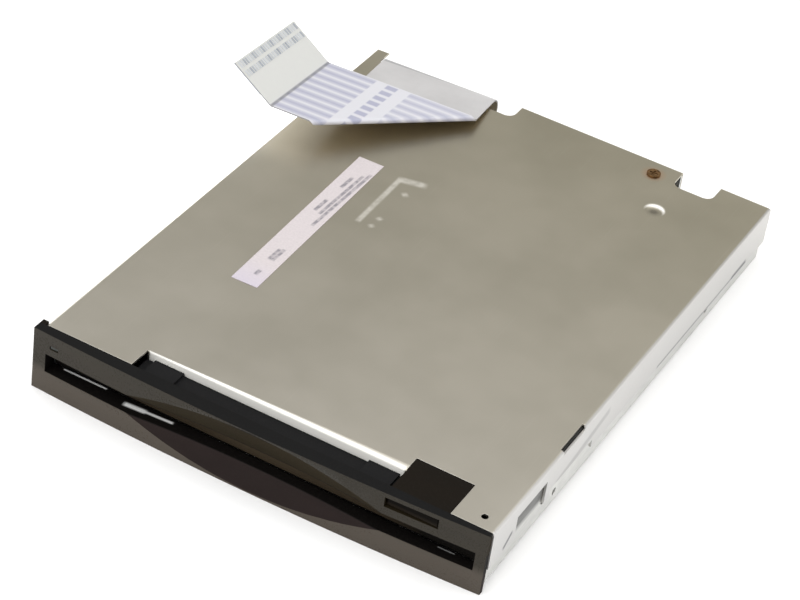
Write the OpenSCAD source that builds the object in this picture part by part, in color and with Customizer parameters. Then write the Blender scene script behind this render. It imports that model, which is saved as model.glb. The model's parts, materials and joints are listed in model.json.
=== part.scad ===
// Slim 3.5 inch floppy disk drive for a portable computer.
// X points right and Y points to the rear, as seen from the bezel, and Z points up.
// The origin is the centre of the underside. All sizes are in millimetres.

/* [Body] */
// Depth of the cover from front to rear
body_d = 126; // [125:0.5:134]
// Height from the underside to the cover's top
body_h = 12.7; // [12.6:0.1:14.5]
// Thickness of the cover's sheet steel
cover_t = 0.5; // [0.4:0.05:0.6]
// Height of the cover's sides
flange_h = 8.7; // [7.5:0.1:9.5]
// Thickness of the frame's base
base_t = 0.6; // [0.5:0.05:0.65]
// Thickness of the frame's walls
wall_t = 0.6; // [0.5:0.05:0.8]
// Thickness of the sheet of the holder and the slider
sheet_t = 0.4; // [0.3:0.05:0.5]

/* [Clearances] */
// Gap between fixed parts that lie against each other
seat_gap = 0.1; // [0.05:0.05:0.2]
// Gap between sheet parts that slide past each other
slide_gap = 0.4; // [0.3:0.05:0.5]
// Radial clearance of pins and shafts that turn or slide
run_gap = 0.05; // [0.02:0.01:0.1]
// Radial clearance of fixed pins, screws and bushes
fit_gap = 0.02; // [0.01:0.01:0.05]

/* [Disk path] */
// Height of the middle of the disk slot
slot_z = 5.7; // [5.6:0.05:5.9]
// Height of the disk slot
slot_h = 4.2; // [4.1:0.05:4.4]
// Width of a disk, which the drive's width is built out from
disk_w = 90; // [88:0.5:96]
// Room between the disk slot and each side of a disk
slot_room = 1; // [0.5:0.1:1.2]
// Thickness of a disk
disk_t = 3.3; // [3.2:0.05:3.4]
// Room above and below the disk in its holder
disk_room = 0.1; // [0.05:0.05:0.15]
// Drop of the holder when a disk is loaded
holder_drop = 1.8; // [1.6:0.05:1.8]
// Forward travel of the slider, which drops the holder
slider_travel = 5; // [4:0.25:5.5]
// Distance from the spindle to the cover's rear edge
spindle_back = 70; // [69:0.5:71]
// Distance from the spindle to the disk's leading edge
hub_to_edge = 40; // [39.5:0.25:40.5]

/* [Bezel] */
// Reach of the bezel past the cover's left side
bezel_left = 1.3; // [0.8:0.1:2]
// Distance of the bezel's right end inside the cover's right side
bezel_right = 0.3; // [0:0.1:0.5]
// Sideways shift of the disk slot's centre
slot_shift = -0.4; // [-0.4:0.1:0]
// Length of the bezel below the underside
bezel_drop = 1.4; // [0.5:0.1:2]
// Forward reach of the bezel's ends from the cover's front edge, before its bow is moved sideways
bezel_reach = 1.7; // [1:0.1:2]
// Forward bow of the bezel's middle past its ends
bezel_bow = 1.5; // [1:0.1:2.5]
// Distance of the bow's middle to the left of the bezel's middle
bow_shift = 7; // [0:0.5:10]
// Half width of the finger scoop
scoop_half_w = 33; // [26:1:34]
// Depth of the finger scoop
scoop_depth = 2.6; // [1.5:0.1:3]
// Half height of the finger scoop
scoop_half_h = 6.9; // [3.5:0.1:7]
// Thickness of the dust door
door_t = 0.8; // [0.6:0.05:0.9]
// Radius of the dust door's pivots
door_pivot_r = 0.5; // [0.4:0.05:0.55]
// Width of the eject button
button_w = 10.4; // [8:0.2:11]
// Height of the eject button
button_h = 1.8; // [1.4:0.1:2.2]
// Place of the eject button's middle along the bezel
button_x = 32.5; // [31.5:0.25:34]
// Width of the eject button's roof in the cover
roof_w = 11.9; // [11:0.1:14]
// Depth of the eject button's roof behind the cover's front edge
roof_d = 9.3; // [7:0.1:11]
// Width of the activity light
led_w = 2; // [1.4:0.1:2.6]
// Height of the activity light
led_h = 0.8; // [0.6:0.1:1.2]

/* [Cover openings] */
// Left end of the front notch
notch_x0 = -28.8; // [-34:0.2:-24]
// Right end of the front notch
notch_x1 = 27; // [22:0.2:27]
// Depth of the front notch
notch_d = 5.5; // [5:0.1:6.5]
// Height of the lip bent down at the front notch
lip_h = 2.3; // [1.5:0.1:2.6]
// Right end of the rear cable notch
cable_notch_x1 = -11.3; // [-14:0.2:-8]
// Depth of the rear cable notch
cable_notch_d = 5.5; // [4.5:0.1:6.5]
// Width of the rear right notch
rear_notch_w = 9; // [6:0.2:11]
// Place of the rear right notch's middle
rear_notch_x = 32; // [30.5:0.2:36]
// Depth of the rear right notch
rear_notch_d = 6.2; // [4:0.1:8]

/* [Spindle] */
// Radius of the spindle motor's rotor
rotor_r = 20; // [19:0.25:20.5]
// Radius of the hub table
hub_r = 12.5; // [11.5:0.25:13.5]
// Radius of the spindle shaft
shaft_r = 2; // [1.8:0.05:2.2]
// Distance of the drive pin from the spindle
drive_pin_off = 10; // [9.5:0.1:10.5]
// Number of stator teeth
teeth = 12; // [9:3:15]

/* [Heads] */
// Radius of the outermost track
track_out = 39.5; // [39:0.1:40]
// Radius of the innermost track
track_in = 24.7; // [24.5:0.1:26]
// Radius of the guide rods
rod_r = 1; // [0.8:0.05:1.2]
// Distance of the guide rods from the centre line
rod_x = 10; // [9.5:0.25:11]
// Lift of the upper head arm when no disk is loaded, in degrees
arm_lift = 11.5; // [10:0.25:11.75]
// Outer radius of the lead screw
screw_r = 1.25; // [1:0.05:1.5]
// Pitch of the lead screw
screw_pitch = 3.75; // [3:0.25:5]
// Radius of the stepper motor
stepper_r = 4.6; // [4:0.1:4.8]
// Place of the lead screw to the right of the centre line
screw_x = 24; // [23:0.25:26]

/* [Cable] */
// Width of the flat cable
cable_w = 27; // [20:1:27]
// Thickness of the flat cable
cable_t = 0.3; // [0.2:0.05:0.35]
// Radius of the bend behind the rear edge
cable_bend_r = 4.65; // [4.5:0.05:5.2]
// Length of the cable from its socket to the rear bend
cable_lead = 6.3; // [6:0.1:6.5]
// Slant of the rear bend, in degrees
cable_skew = -3; // [-3:0.5:0]
// Rise of the cable over the cover, in degrees
cable_rise = 6.5; // [4:0.5:8]
// Length of the cable to the middle of the diagonal fold
fold_at = 44.4; // [41:0.2:45]
// Angle of the diagonal fold, in degrees
fold_angle = 43.5; // [43:0.5:47]
// Radius of the diagonal fold
fold_r = 0.5; // [0.4:0.05:0.8]
// Length of the cable to the crease before its end
crease_at = 68; // [62.5:0.5:69]
// Angle of the crease, in degrees
crease_turn = 34; // [15:1:45]
// Whole length of the cable
cable_len = 80; // [72:0.5:90]
// Number of conductors in the cable
conductors = 26; // [16:1:26]

/* [Mounting] */
// Spacing of the underside's screw holes from side to side
mount_w = 76; // [70:1:78]
// Spacing of the underside's screw holes from front to rear
mount_d = 80; // [76:1:84]
// Radius of the mounting holes, tapped for M2
mount_r = 0.8; // [0.7:0.05:1]
// Spacing of the side screw holes
side_mount_d = 70; // [60:1:74]
// Height of the side screw holes
side_mount_z = 2.5; // [2.2:0.1:2.8]

/* [Hidden] */
$fn = 48;
large_fn = 720;
eps = 0.01;

// Places across the width, from the disk outwards
disk_side_room = 0.2;
lip_w = 3;
strip_w = 7.9;
holder_in = disk_w / 2 + disk_side_room;
holder_x = holder_in + sheet_t;
slider_in = holder_x + slide_gap;
slider_x = slider_in + sheet_t;
strip_in = slider_x - strip_w;
frame_in = slider_x + slide_gap;
frame_x = frame_in + wall_t;
cover_in = frame_x + seat_gap;
half_w = cover_in + cover_t;

// Places from front to rear, with the mechanism placed from the rear edge
back_plate_t = 0.8;
stop_gap = 0.2;
front_y = -body_d / 2;
rear_y = body_d / 2;
bezel_back = front_y + back_plate_t;
frame_front = bezel_back + seat_gap;
frame_rear = rear_y - cover_t - seat_gap;
spindle_y = rear_y - spindle_back;
head_y = spindle_y + track_out;
head_travel = track_out - track_in;
holder_rear = spindle_y + hub_to_edge + stop_gap + sheet_t;

// Heights
cover_under = body_h - cover_t;
wall_top = cover_under - seat_gap;
flange_z = body_h - flange_h;
slot_z0 = slot_z - slot_h / 2;
slot_z1 = slot_z + slot_h / 2;
bay_z0 = slot_z - disk_t / 2 - disk_room;
bay_z1 = slot_z + disk_t / 2 + disk_room;
holder_top = bay_z1 + sheet_t;
slider_z = holder_top + slide_gap;
slider_top = slider_z + sheet_t;
loaded_z = slot_z - disk_t / 2 - holder_drop;
media_z = loaded_z + disk_t / 2;

// Cover and its openings
cover_screw_in = 25.4;
cover_screw_back = 4.9;
cover_screw_x = half_w - cover_screw_in;
cover_screw_y = rear_y - cover_screw_back;
cover_screw_r = 1;
cover_screw_len = 1.6;
cover_screw_head_r = 1.5;
cover_screw_head_h = 0.35;
cover_screw_gap = 0.2;
cross_len = 1.9;
cross_w = 0.4;
cross_depth = 0.25;
screw_tab_half = 2.4;
screw_tab_t = 0.8;
small_hole_in = 3.6;
small_hole_back = 3;
small_hole_x = half_w - small_hole_in;
small_hole_y = front_y + small_hole_back;
small_hole_r = 0.7;
dimple_in = 19.6;
dimple_back = 16.9;
dimple_x = half_w - dimple_in;
dimple_y = rear_y - dimple_back;
dimple_r = 8;
dimple_depth = 0.35;
side_window_back = 10;
side_window_y = front_y + side_window_back;
side_window_len = 12;
side_window_h = 5.4;
side_recess_back = 24;
side_recess_y = front_y + side_recess_back;
side_recess_len = 18;
side_recess_h = 2;
edge_slot_back = 27.8;
edge_slot_y = front_y + edge_slot_back;
edge_slot_len = 9.3;
edge_slot_w = 0.9;
edge_slot_h = 1;
cable_strip = 3.1;
notch_r = 2;
rear_notch_sill = 3;

// Bezel
bezel_x0 = -half_w - bezel_left;
bezel_x1 = half_w - bezel_right;
bezel_mid = (bezel_x0 + bezel_x1) / 2;
bezel_half = (bezel_x1 - bezel_x0) / 2;
bezel_front = front_y - bezel_reach - bezel_bow;
bow_r = (bezel_half * bezel_half + bezel_bow * bezel_bow) / (2 * bezel_bow);
bow_x = bezel_mid - bow_shift;
corner_lap = 1;
slot_x0 = slot_shift - disk_w / 2 - slot_room;
slot_x1 = slot_shift + disk_w / 2 + slot_room;
shelf_lap = 0.2;
shelf_t = 0.7;
shelf_z = body_h - lip_h + shelf_lap;
shelf_ear_h = 0.6;
shelf_ear_w = 6.4;
left_ear_in = 1.8;
right_ear_in = 1;
roof_t = 0.8;
roof_shift = 0.5;
roof_x = button_x + roof_shift;
button_drop = 0.35;
button_proud = 0.1;
button_tail = 0.4;
button_z = body_h - roof_t - button_drop - button_h / 2;
button_front = front_y - bezel_reach - button_proud;
window_gap = 0.2;
neck_spare = 1;
neck_lap = 0.5;
neck_end = bezel_back + slider_travel + neck_spare;
stem_half = 3;
stem_t = 1;
stem_foot = 2.5;
stem_seat = 6;
led_inset = 4.8;
led_rise = 2;
led_recess = 0.15;
led_foot = 0.5;
led_foot_d = 1.6;
led_x = bezel_x0 + led_inset;
led_z = slot_z1 + led_rise;

// Dust door
door_back = 1;
door_lap = 0.2;
door_ear_t = 0.7;
door_ear_wall = 0.4;
door_ear = door_pivot_r + door_ear_wall;
door_x = frame_in - 2 * seat_gap - door_ear_t;
door_y = bezel_back + door_back;
door_z = bay_z1 + door_t / 2;
door_end = slot_z0 - door_lap;
door_open_y = door_y + door_z - door_end;

// Disk holder, slider and the pins that join them
holder_front = door_open_y + 2 * slide_gap;
stop_w = 16;
stop_in = 17;
head_window = 8.5;
head_window_margin = 3;
pin_r = 0.9;
first_pin = 23;
pin_spacing = 60;
pin_ys = [front_y + first_pin, front_y + first_pin + pin_spacing];
pin_z = slot_z;
slider_setback = 8;
slider_tail = 7;
slider_bar = 30;
slider_front = front_y + slider_travel + slider_setback;
slider_rear = pin_ys[1] + slider_travel + slider_tail;
slider_window_half = 22;
slider_window_front = 9;
slider_window_rear = 6;
spring_r = 1;
spring_wire = 0.4;
spring_turns = 9;
spring_rise = 0.3;
spring_inset = 3.4;
spring_len = 21;
spring_z = slider_top + spring_r + spring_rise;
spring_x = strip_in + spring_inset;
hook_back = 5;
hook_t = 0.6;
hook_half_w = 0.6;
hook_half_h = 0.7;
hook_y = slider_front + hook_back;
lug_y = hook_y + spring_len;

// Shutter lever
lever_in = 11.2;
lever_back = 6.6;
lever_x = -holder_in + lever_in;
lever_y = holder_rear - lever_back;
lever_len = 21;
lever_rest = -42;
lever_swing = 36;
lever_spare = 4;
lever_t = 0.4;
lever_w = 2.6;
lever_hub_r = 2.4;
lever_pin_r = 1;
lever_pin_head_r = 1.7;
lever_pin_head_t = 0.4;
lever_tip_r = 0.8;
lever_tip_gap = 0.3;
lever_tip_reach = 1.9;
lever_z = holder_top + fit_gap;

// Spindle motor, from the base up
rotor_gap = 0.3;
hub_seat = 0.05;
hub_t = 0.3;
cup_t = 0.3;
bush_r = 4.5;
bush_gap = 0.15;
bush_floor = 0.3;
rim_t = 0.8;
magnet_t = 1.2;
air_gap = 0.3;
stator_plate_t = 0.15;
core_t = 0.35;
rotor_z0 = base_t + rotor_gap;
hub_top = loaded_z - hub_seat;
cup_top = hub_top - hub_t;
cup_under = cup_top - cup_t;
bush_top = cup_under - bush_gap;
stator_r = rotor_r - rim_t - magnet_t - air_gap;
plate_top = base_t + stator_plate_t;
core_top = plate_top + core_t;
core_gap = 1.2;
core_w = 2.8;
core_in = bush_r + core_gap;
core_out = core_in + core_w;
tooth_half = 1;
tooth_tip_half = 2.4;
tooth_tip_gap = 0.6;
tooth_tip_d = 1.2;
tooth_tip_out = stator_r - tooth_tip_gap;
tooth_tip_in = tooth_tip_out - tooth_tip_d;
coil_core_gap = 1.4;
coil_tip_gap = 0.3;
coil_in = core_out + coil_core_gap;
coil_out = tooth_tip_in - coil_tip_gap;
coil_half = 1.8;
coil_rise = 0.25;
hub_magnet_gap = 3;
hub_magnet_w = 3;
hub_magnet_in = shaft_r + hub_magnet_gap;
hub_magnet_out = hub_magnet_in + hub_magnet_w;
hub_groove = 0.2;
shaft_rise = 1;
drive_pin_r = 0.9;
drive_pin_rise = 0.7;

// Head carriage, its arm and its rods
rod_z = 3;
clip_len = 1.6;
clip_w = 3.2;
clip_wall = 0.8;
clip_gap = 0.6;
clip_y = holder_rear + clip_gap;
block_len = 4;
block_wall = 2;
block_rise = 0.9;
block_y = clip_y + clip_len + slide_gap + head_travel;
block_x = rod_x + rod_r + block_wall;
rear_room = 1.6;
rear_clip_y = block_y + block_len + slide_gap + rear_room;
hinge_rise = 1.35;
hinge_y = block_y + block_len / 2;
hinge_z = loaded_z + disk_t + hinge_rise;
carriage_gap = 0.3;
disk_gap = 0.25;
plate_z0 = base_t + carriage_gap;
plate_z1 = loaded_z - disk_gap;
plate_clip_gap = 1.4;
plate_half_w = rod_x - clip_w / 2 - plate_clip_gap;
plate_lap = 0.5;
arm_half_w = 5;
arm_t = 0.8;
arm_side_gap = 0.3;
head_half = 3;
arm_reach = hinge_y - head_y;
arm_slot_half = 2.2;
arm_slot_front = 2;
arm_slot_rear = 4;
arm_pin_r = 0.6;
knuckle_r = 1.1;
knuckle_gap = 0.2;
pocket_half = arm_half_w + arm_side_gap;
cheek_hole = 1.9;
cheek_x = pocket_half + cheek_hole;
gimbal_t = 0.3;
core_half_w = 2;
core_half_l = 2.5;
head_gap = 0.1;

// Stepper motor, its bracket and its lead screw
motor_base_gap = 0.4;
motor_gap = 2.2;
motor_y = hinge_y + motor_gap;
motor_len = frame_rear - wall_t - slide_gap - motor_y;
screw_z = base_t + motor_base_gap + stepper_r;
journal_r = 0.75;
journal_len = 2;
journal_end_gap = 0.2;
thread_wave = 0.2;
thread_gap = 0.3;
bracket_t = 0.8;
bracket_foot = 0.6;
bracket_half = 3.4;
bracket_rise = 3;
bracket_front_half = 2;
bracket_front_rise = 2;
follower_r = 0.5;
follower_gap = 0.2;
follower_out = 0.85;
follower_depth = 1.2;
follower_end = screw_x - screw_r - follower_gap;
follower_x = follower_end - follower_out;
follower_arm_half_w = 1;
follower_arm_half_h = 0.8;
bracket_screw_back = 6;
bracket_screw_step = 9;
bracket_screw_ys = [clip_y + bracket_screw_back, clip_y + bracket_screw_back + bracket_screw_step];

// Main board
board_rise = 0.6;
board_t = 0.8;
board_side_gap = 1.4;
board_block_gap = 1;
board_front_gap = 3.4;
board_rear_gap = 0.9;
board_z = base_t + board_rise;
board_top = board_z + board_t;
board_x0 = -frame_in + board_side_gap;
board_x1 = -block_x - board_block_gap;
board_y0 = holder_rear + board_front_gap;
board_y1 = frame_rear - board_rear_gap;
post_in = 2.6;
board_posts = [[board_x1 - post_in, board_y0 + post_in], [board_x0 + post_in, board_y1 - post_in]];
post_r = 2;
post_screw_r = 0.9;
post_screw_head_r = 1.6;
post_screw_head_h = 0.6;
screw_end_in = 0.1;
base_window_in = 6;
sensor_in = 0.6;
sensor_back = 7;
sensor_w = 3;
sensor_d = 3.4;
sensor_h = 3;
// Place, width, depth and height of each chip
chips = [[5, 2, 9, 9, 1.4], [17, 3, 6, 6, 1.2], [17, 10, 7, 2.6, 1.6]];

// Flat cable and its socket
cable_side_gap = 0.2;
cable_back = 11;
cable_over = 0.6;
cable_x = -half_w + cable_strip + cable_side_gap + cable_w / 2;
cable_y = rear_y - cable_back;
cable_z = body_h + cable_over - 2 * cable_bend_r;
socket_wall = 0.9;
socket_back = 1.5;
socket_front = 4;
socket_rise = 1.5;
socket_end_gap = 0.2;
cable_room = 0.15;
crease_r = 1;
crease_len = crease_r * crease_turn * PI / 180;
bend_steps = 14;
fold_steps = 6;
crease_steps = 3;
contact_t = 0.06;
contact_len = 1.5;
contact_share = 0.6;
contact_backs = [4.2, 1.9];
stiffener_gap = 2.9;
stiffener_len = cable_len - crease_at - crease_len - stiffener_gap;
stiffener_t = 0.15;

// Media switches under the disk's front corners
switch_in = 2.9;
switch_back = 3;
switch_w = 4.4;
switch_h = 1.4;
switch_x = holder_x - lip_w - switch_in;
switch_y = holder_front + switch_back;
plunger_r = 1;
plunger_travel = 0.8;
plunger_floor = 0.1;
plunger_top = loaded_z + plunger_travel;

// Paper label
label_w = 5.8;
label_len = 52;
label_t = 0.1;
label_turn = 1.2;
label_in = 21.8;
label_back = 60.3;
label_x = -half_w + label_in;
label_y = front_y + label_back;

// A box from its low corner to its high corner
module box(x0, x1, y0, y1, z0, z1) {
    translate([x0, y0, z0]) cube([x1 - x0, y1 - y0, z1 - z0]);
}

// The same shape on both sides of the centre line
module both_sides() {
    children();
    mirror([1, 0, 0]) children();
}

// A round bar along X
module bar_x(x0, x1, y, z, r) {
    translate([x0, y, z]) rotate([0, 90, 0]) cylinder(r = r, h = x1 - x0);
}

// A round bar along Y
module bar_y(x, y0, y1, z, r) {
    translate([x, y0, z]) rotate([-90, 0, 0]) cylinder(r = r, h = y1 - y0);
}

// A round bar along Z
module bar_z(x, y, z0, z1, r) {
    translate([x, y, z0]) cylinder(r = r, h = z1 - z0);
}

// A flat ring round the spindle
module spindle_ring(r_in, r_out, z0, z1) {
    difference() {
        bar_z(0, spindle_y, z0, z1, r_out);
        bar_z(0, spindle_y, z0 - eps, z1 + eps, r_in);
    }
}

// A plate along X whose front corners, or notch corners, are round
module round_slot(x0, x1, y0, y1, z0, z1, r) {
    box(x0, x1, y0 + r, y1, z0, z1);
    box(x0 + r, x1 - r, y0, y0 + r + eps, z0, z1);
    bar_z(x0 + r, y0 + r, z0, z1, r);
    bar_z(x1 - r, y0 + r, z0, z1, r);
}

// Frame: base, walls, hooks and posts
module frame() {
    color("gainsboro") difference() {
        union() {
            box(-frame_x, frame_x, frame_front, frame_rear, 0, base_t);
            both_sides() box(frame_in, frame_x, frame_front, frame_rear, 0, wall_top);
            box(cable_notch_x1, frame_x, frame_rear - wall_t, frame_rear, 0, wall_top);
            both_sides() spring_hook();
            for (p = board_posts) bar_z(p[0], p[1], base_t - eps, board_z, post_r);
            screw_post();
        }
        both_sides() for (y = pin_ys) guide_slot(y);
        both_sides() for (y = [-side_mount_d / 2, side_mount_d / 2])
            bar_x(frame_in - eps, frame_x + eps, y, side_mount_z, mount_r);
        for (x = [-mount_w / 2, mount_w / 2]) for (y = [-mount_d / 2, mount_d / 2])
            bar_z(x, y, -eps, base_t + eps, mount_r);
        for (p = board_posts) bar_z(p[0], p[1], -eps, board_z + eps, post_screw_r + fit_gap);
        for (y = bracket_screw_ys) bar_z(screw_x, y, -eps, base_t + eps, post_screw_r + fit_gap);
        bar_z(0, spindle_y, -eps, base_t + eps, bush_r + fit_gap);
        box(board_x0 + base_window_in, board_x1 - base_window_in, board_y0 + base_window_in,
            board_y1 - base_window_in, -eps, base_t + eps);
        bar_z(cover_screw_x, cover_screw_y, wall_top - cover_screw_len, wall_top + eps,
            cover_screw_r + fit_gap);
        rear_notch();
    }
}

// Tab bent in from a wall, which holds one end of an eject spring
module spring_hook() {
    box(spring_x - hook_half_w, frame_in + eps, hook_y - hook_t, hook_y,
        spring_z - hook_half_h, spring_z + hook_half_h);
}

// Upright slot in a wall, which guides one of the holder's pins
module guide_slot(y) {
    r = pin_r + run_gap;
    box(frame_in - eps, frame_x + eps, y - r, y + r, pin_z - holder_drop, pin_z);
    bar_x(frame_in - eps, frame_x + eps, y, pin_z, r);
    bar_x(frame_in - eps, frame_x + eps, y, pin_z - holder_drop, r);
}

// Tab bent in from the rear wall under the cover's screw
module screw_post() {
    box(cover_screw_x - screw_tab_half, cover_screw_x + screw_tab_half, cover_screw_y - screw_tab_half,
        frame_rear, wall_top - screw_tab_t, wall_top);
}

// Top cover: plate with bent sides, rear and front lip
module top_cover() {
    color("silver") difference() {
        union() {
            box(-half_w, half_w, front_y, rear_y, cover_under, body_h);
            both_sides() box(cover_in, half_w, front_y, rear_y, flange_z, body_h);
            box(cable_notch_x1, half_w, rear_y - cover_t, rear_y, flange_z, body_h);
            front_lip();
        }
        box(notch_x0, notch_x1, front_y - eps, front_y + notch_d, cover_under - eps, body_h + eps);
        roof_hole();
        cable_notch();
        rear_notch();
        bar_z(small_hole_x, small_hole_y, cover_under - eps, body_h + eps, small_hole_r);
        bar_z(cover_screw_x, cover_screw_y, cover_under - eps, body_h + eps,
            cover_screw_r + cover_screw_gap);
        translate([dimple_x, dimple_y, body_h + dimple_r - dimple_depth]) sphere(r = dimple_r);
        both_sides() side_cut(side_window_y, side_window_len, side_window_h);
        both_sides() side_cut(side_recess_y, side_recess_len, side_recess_h);
        box(half_w - edge_slot_w, half_w + eps, edge_slot_y, edge_slot_y + edge_slot_len,
            body_h - edge_slot_h, body_h + eps);
    }
}

// Lip bent down along the front notch
module front_lip() {
    box(notch_x0, notch_x1, front_y + notch_d - eps, front_y + notch_d + cover_t, body_h - lip_h, body_h);
}

// Hole for the bezel's roof over the eject button
module roof_hole() {
    x0 = roof_x - roof_w / 2 - seat_gap;
    x1 = roof_x + roof_w / 2 + seat_gap;
    box(x0, x1, front_y - eps, front_y + roof_d + seat_gap, cover_under - eps, body_h + eps);
}

// Notch in the rear edge where the cable comes up
module cable_notch() {
    translate([0, rear_y - cable_notch_d, 0])
        round_slot(-half_w + cable_strip, cable_notch_x1, 0, cable_notch_d + eps,
            -eps, body_h + eps, notch_r);
}

// Round-cornered notch at the right of the rear edge
module rear_notch() {
    x0 = rear_notch_x - rear_notch_w / 2;
    round_slot(x0, x0 + rear_notch_w, rear_y - rear_notch_d, rear_y + eps,
        flange_z + rear_notch_sill, body_h + eps, notch_r);
}

// Cut in a side from its lower edge
module side_cut(y, len, h) {
    box(cover_in - eps, half_w + eps, y, y + len, flange_z - eps, flange_z + h);
}

// Screw that holds the cover, with a cross recess
module cover_screw() {
    color("peru") difference() {
        union() {
            bar_z(cover_screw_x, cover_screw_y, wall_top - cover_screw_len, body_h + eps, cover_screw_r);
            bar_z(cover_screw_x, cover_screw_y, body_h, body_h + cover_screw_head_h, cover_screw_head_r);
        }
        for (a = [0, 90]) translate([cover_screw_x, cover_screw_y, body_h + cover_screw_head_h])
            rotate([0, 0, a]) cube([cross_len, cross_w, 2 * cross_depth], center = true);
    }
}

// Front bezel with its slot, finger scoop, shelf and roof
module front_bezel() {
    color("dimgray") difference() {
        union() {
            bezel_face();
            bezel_back_plate();
            bezel_shelf();
            bezel_roof();
            door_ears();
        }
        box(slot_x0, slot_x1, bezel_front - eps, bezel_back + eps, slot_z0, slot_z1);
        finger_scoop();
        box(button_x - button_w / 2 - window_gap, button_x + button_w / 2 + window_gap, bezel_front - eps,
            bezel_back + eps, button_z - button_h / 2 - window_gap, button_z + button_h / 2 + window_gap);
        box(led_x - led_w / 2, led_x + led_w / 2, bezel_front - eps, bezel_back + eps,
            led_z - led_h / 2, led_z + led_h / 2);
        bar_x(-half_w, half_w, door_y, door_z, door_pivot_r + run_gap);
    }
}

// Bowed face of the bezel, with an ear beside the cover's left corner
module bezel_face() {
    intersection() {
        union() {
            box(bezel_x0, bezel_x1, bezel_front - eps, front_y - seat_gap, -bezel_drop, body_h);
            box(bezel_x0, -half_w - seat_gap, front_y - 2 * seat_gap, front_y + corner_lap,
                -bezel_drop, body_h);
        }
        translate([bow_x, bezel_front + bow_r, -bezel_drop - eps])
            cylinder(r = bow_r, h = body_h + bezel_drop + 2 * eps, $fn = large_fn);
    }
}

// Plate behind the bezel's face, which meets the frame
module bezel_back_plate() {
    y0 = front_y - seat_gap - eps;
    box(-frame_x, notch_x0 - eps, y0, bezel_back, 0, wall_top);
    box(notch_x0 - 2 * eps, notch_x1 + 2 * eps, y0, bezel_back, 0, shelf_z);
    box(notch_x1 + eps, frame_x, y0, bezel_back, 0, wall_top);
}

// Shelf in the cover's front notch, with a raised ear at each end
module bezel_shelf() {
    x0 = notch_x0 + seat_gap;
    x1 = notch_x1 - seat_gap;
    y0 = front_y - seat_gap - eps;
    y1 = front_y + notch_d - 2 * seat_gap;
    ear_x = [x0 + left_ear_in, x1 - right_ear_in - shelf_ear_w];
    box(x0, x1, y0, y1, shelf_z - shelf_t, shelf_z);
    for (x = ear_x) box(x, x + shelf_ear_w, y0, y1, shelf_z - eps, shelf_z + shelf_ear_h);
}

// Roof over the eject button, flush with the cover
module bezel_roof() {
    box(roof_x - roof_w / 2, roof_x + roof_w / 2, front_y - seat_gap - eps, front_y + roof_d,
        body_h - roof_t, body_h);
}

// Ears behind the bezel that hold the dust door's pivots
module door_ears() {
    x = door_x + seat_gap;
    both_sides() box(x, x + door_ear_t, bezel_back - eps, door_y + door_ear,
        door_z - door_ear, door_z + door_ear);
}

// Lens-shaped scoop round the slot: two cones, rim to rim
module finger_scoop() {
    scoop_r = 1 / (2 * scoop_depth / pow(scoop_half_w, 2) - 1 / bow_r);
    scoop_turn = asin((slot_shift - bow_x) / bow_r);
    translate([slot_shift, bezel_front, slot_z]) rotate([0, 0, scoop_turn])
        translate([0, scoop_depth - scoop_r, 0]) {
            for (side = [0, 1]) mirror([0, 0, side])
                cylinder(h = scoop_half_h, r1 = scoop_r, r2 = scoop_r - scoop_depth, $fn = large_fn);
        }
}

// Light pipe of the activity light, with its foot behind the bezel
module activity_light() {
    front = bezel_front + pow(led_x - bow_x, 2) / (2 * bow_r) + led_recess;
    color("palegreen") {
        box(led_x - led_w / 2 + fit_gap, led_x + led_w / 2 - fit_gap, front, bezel_back + eps,
            led_z - led_h / 2 + fit_gap, led_z + led_h / 2 - fit_gap);
        box(led_x - led_w / 2 - led_foot, led_x + led_w / 2 + led_foot, bezel_back, bezel_back + led_foot_d,
            led_z - led_h / 2 - led_foot, led_z + led_h / 2 + led_foot);
    }
}

// Dust door that hangs behind the slot
module dust_door() {
    color("darkslategray") {
        box(-door_x, door_x, door_y - door_t / 2, door_y + door_t / 2, door_end, door_z);
        bar_x(-door_x, door_x, door_y, door_z, door_t / 2);
        bar_x(-door_x - door_ear_t, door_x + door_ear_t, door_y, door_z, door_pivot_r);
    }
}

// Eject button, with a neck through the bezel's window and a stem on the slider
module eject_button() {
    tail = bezel_back + button_tail;
    x0 = button_x - stem_half;
    x1 = button_x + stem_half;
    color("dimgray") {
        box(button_x - button_w / 2, button_x + button_w / 2, button_front, tail,
            button_z - button_h / 2, button_z + button_h / 2);
        box(x0, x1, tail - eps, neck_end, button_z - button_h / 2, button_z + button_h / 2);
        box(x0, x1, neck_end - neck_lap, neck_end + stem_foot, slider_top, button_z);
        box(x0, x1, neck_end - neck_lap, slider_front + stem_seat, slider_top, slider_top + stem_t);
    }
}

// Slider with the cam slots that lower the holder
module slider_plate() {
    color("lightsteelblue") difference() {
        union() {
            box(-slider_x, slider_x, slider_front, slider_front + slider_bar, slider_z, slider_top);
            both_sides() {
                box(strip_in, slider_x, slider_front, slider_rear, slider_z, slider_top);
                box(slider_in, slider_x, slider_front, slider_rear, base_t + slide_gap, slider_top);
                box(spring_x - hook_half_w, spring_x + hook_half_w, lug_y, lug_y + hook_t,
                    slider_top - eps, spring_z + hook_half_h);
            }
        }
        both_sides() for (y = pin_ys) cam_slot(y);
        box(-slider_window_half, slider_window_half, slider_front + slider_window_front,
            slider_front + slider_bar - slider_window_rear, slider_z - eps, slider_top + eps);
    }
}

// Straight cam slot from a pin's raised place to its lowered place
module cam_slot(y) {
    r = pin_r + run_gap;
    run = norm([slider_travel, holder_drop]);
    translate([slider_in - eps, y, pin_z]) rotate([-atan2(holder_drop, slider_travel), 0, 0])
        translate([0, 0, -r]) cube([sheet_t + 2 * eps, run, 2 * r]);
    bar_x(slider_in - eps, slider_x + eps, y, pin_z, r);
    bar_x(slider_in - eps, slider_x + eps, y + slider_travel, pin_z - holder_drop, r);
}

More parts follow.
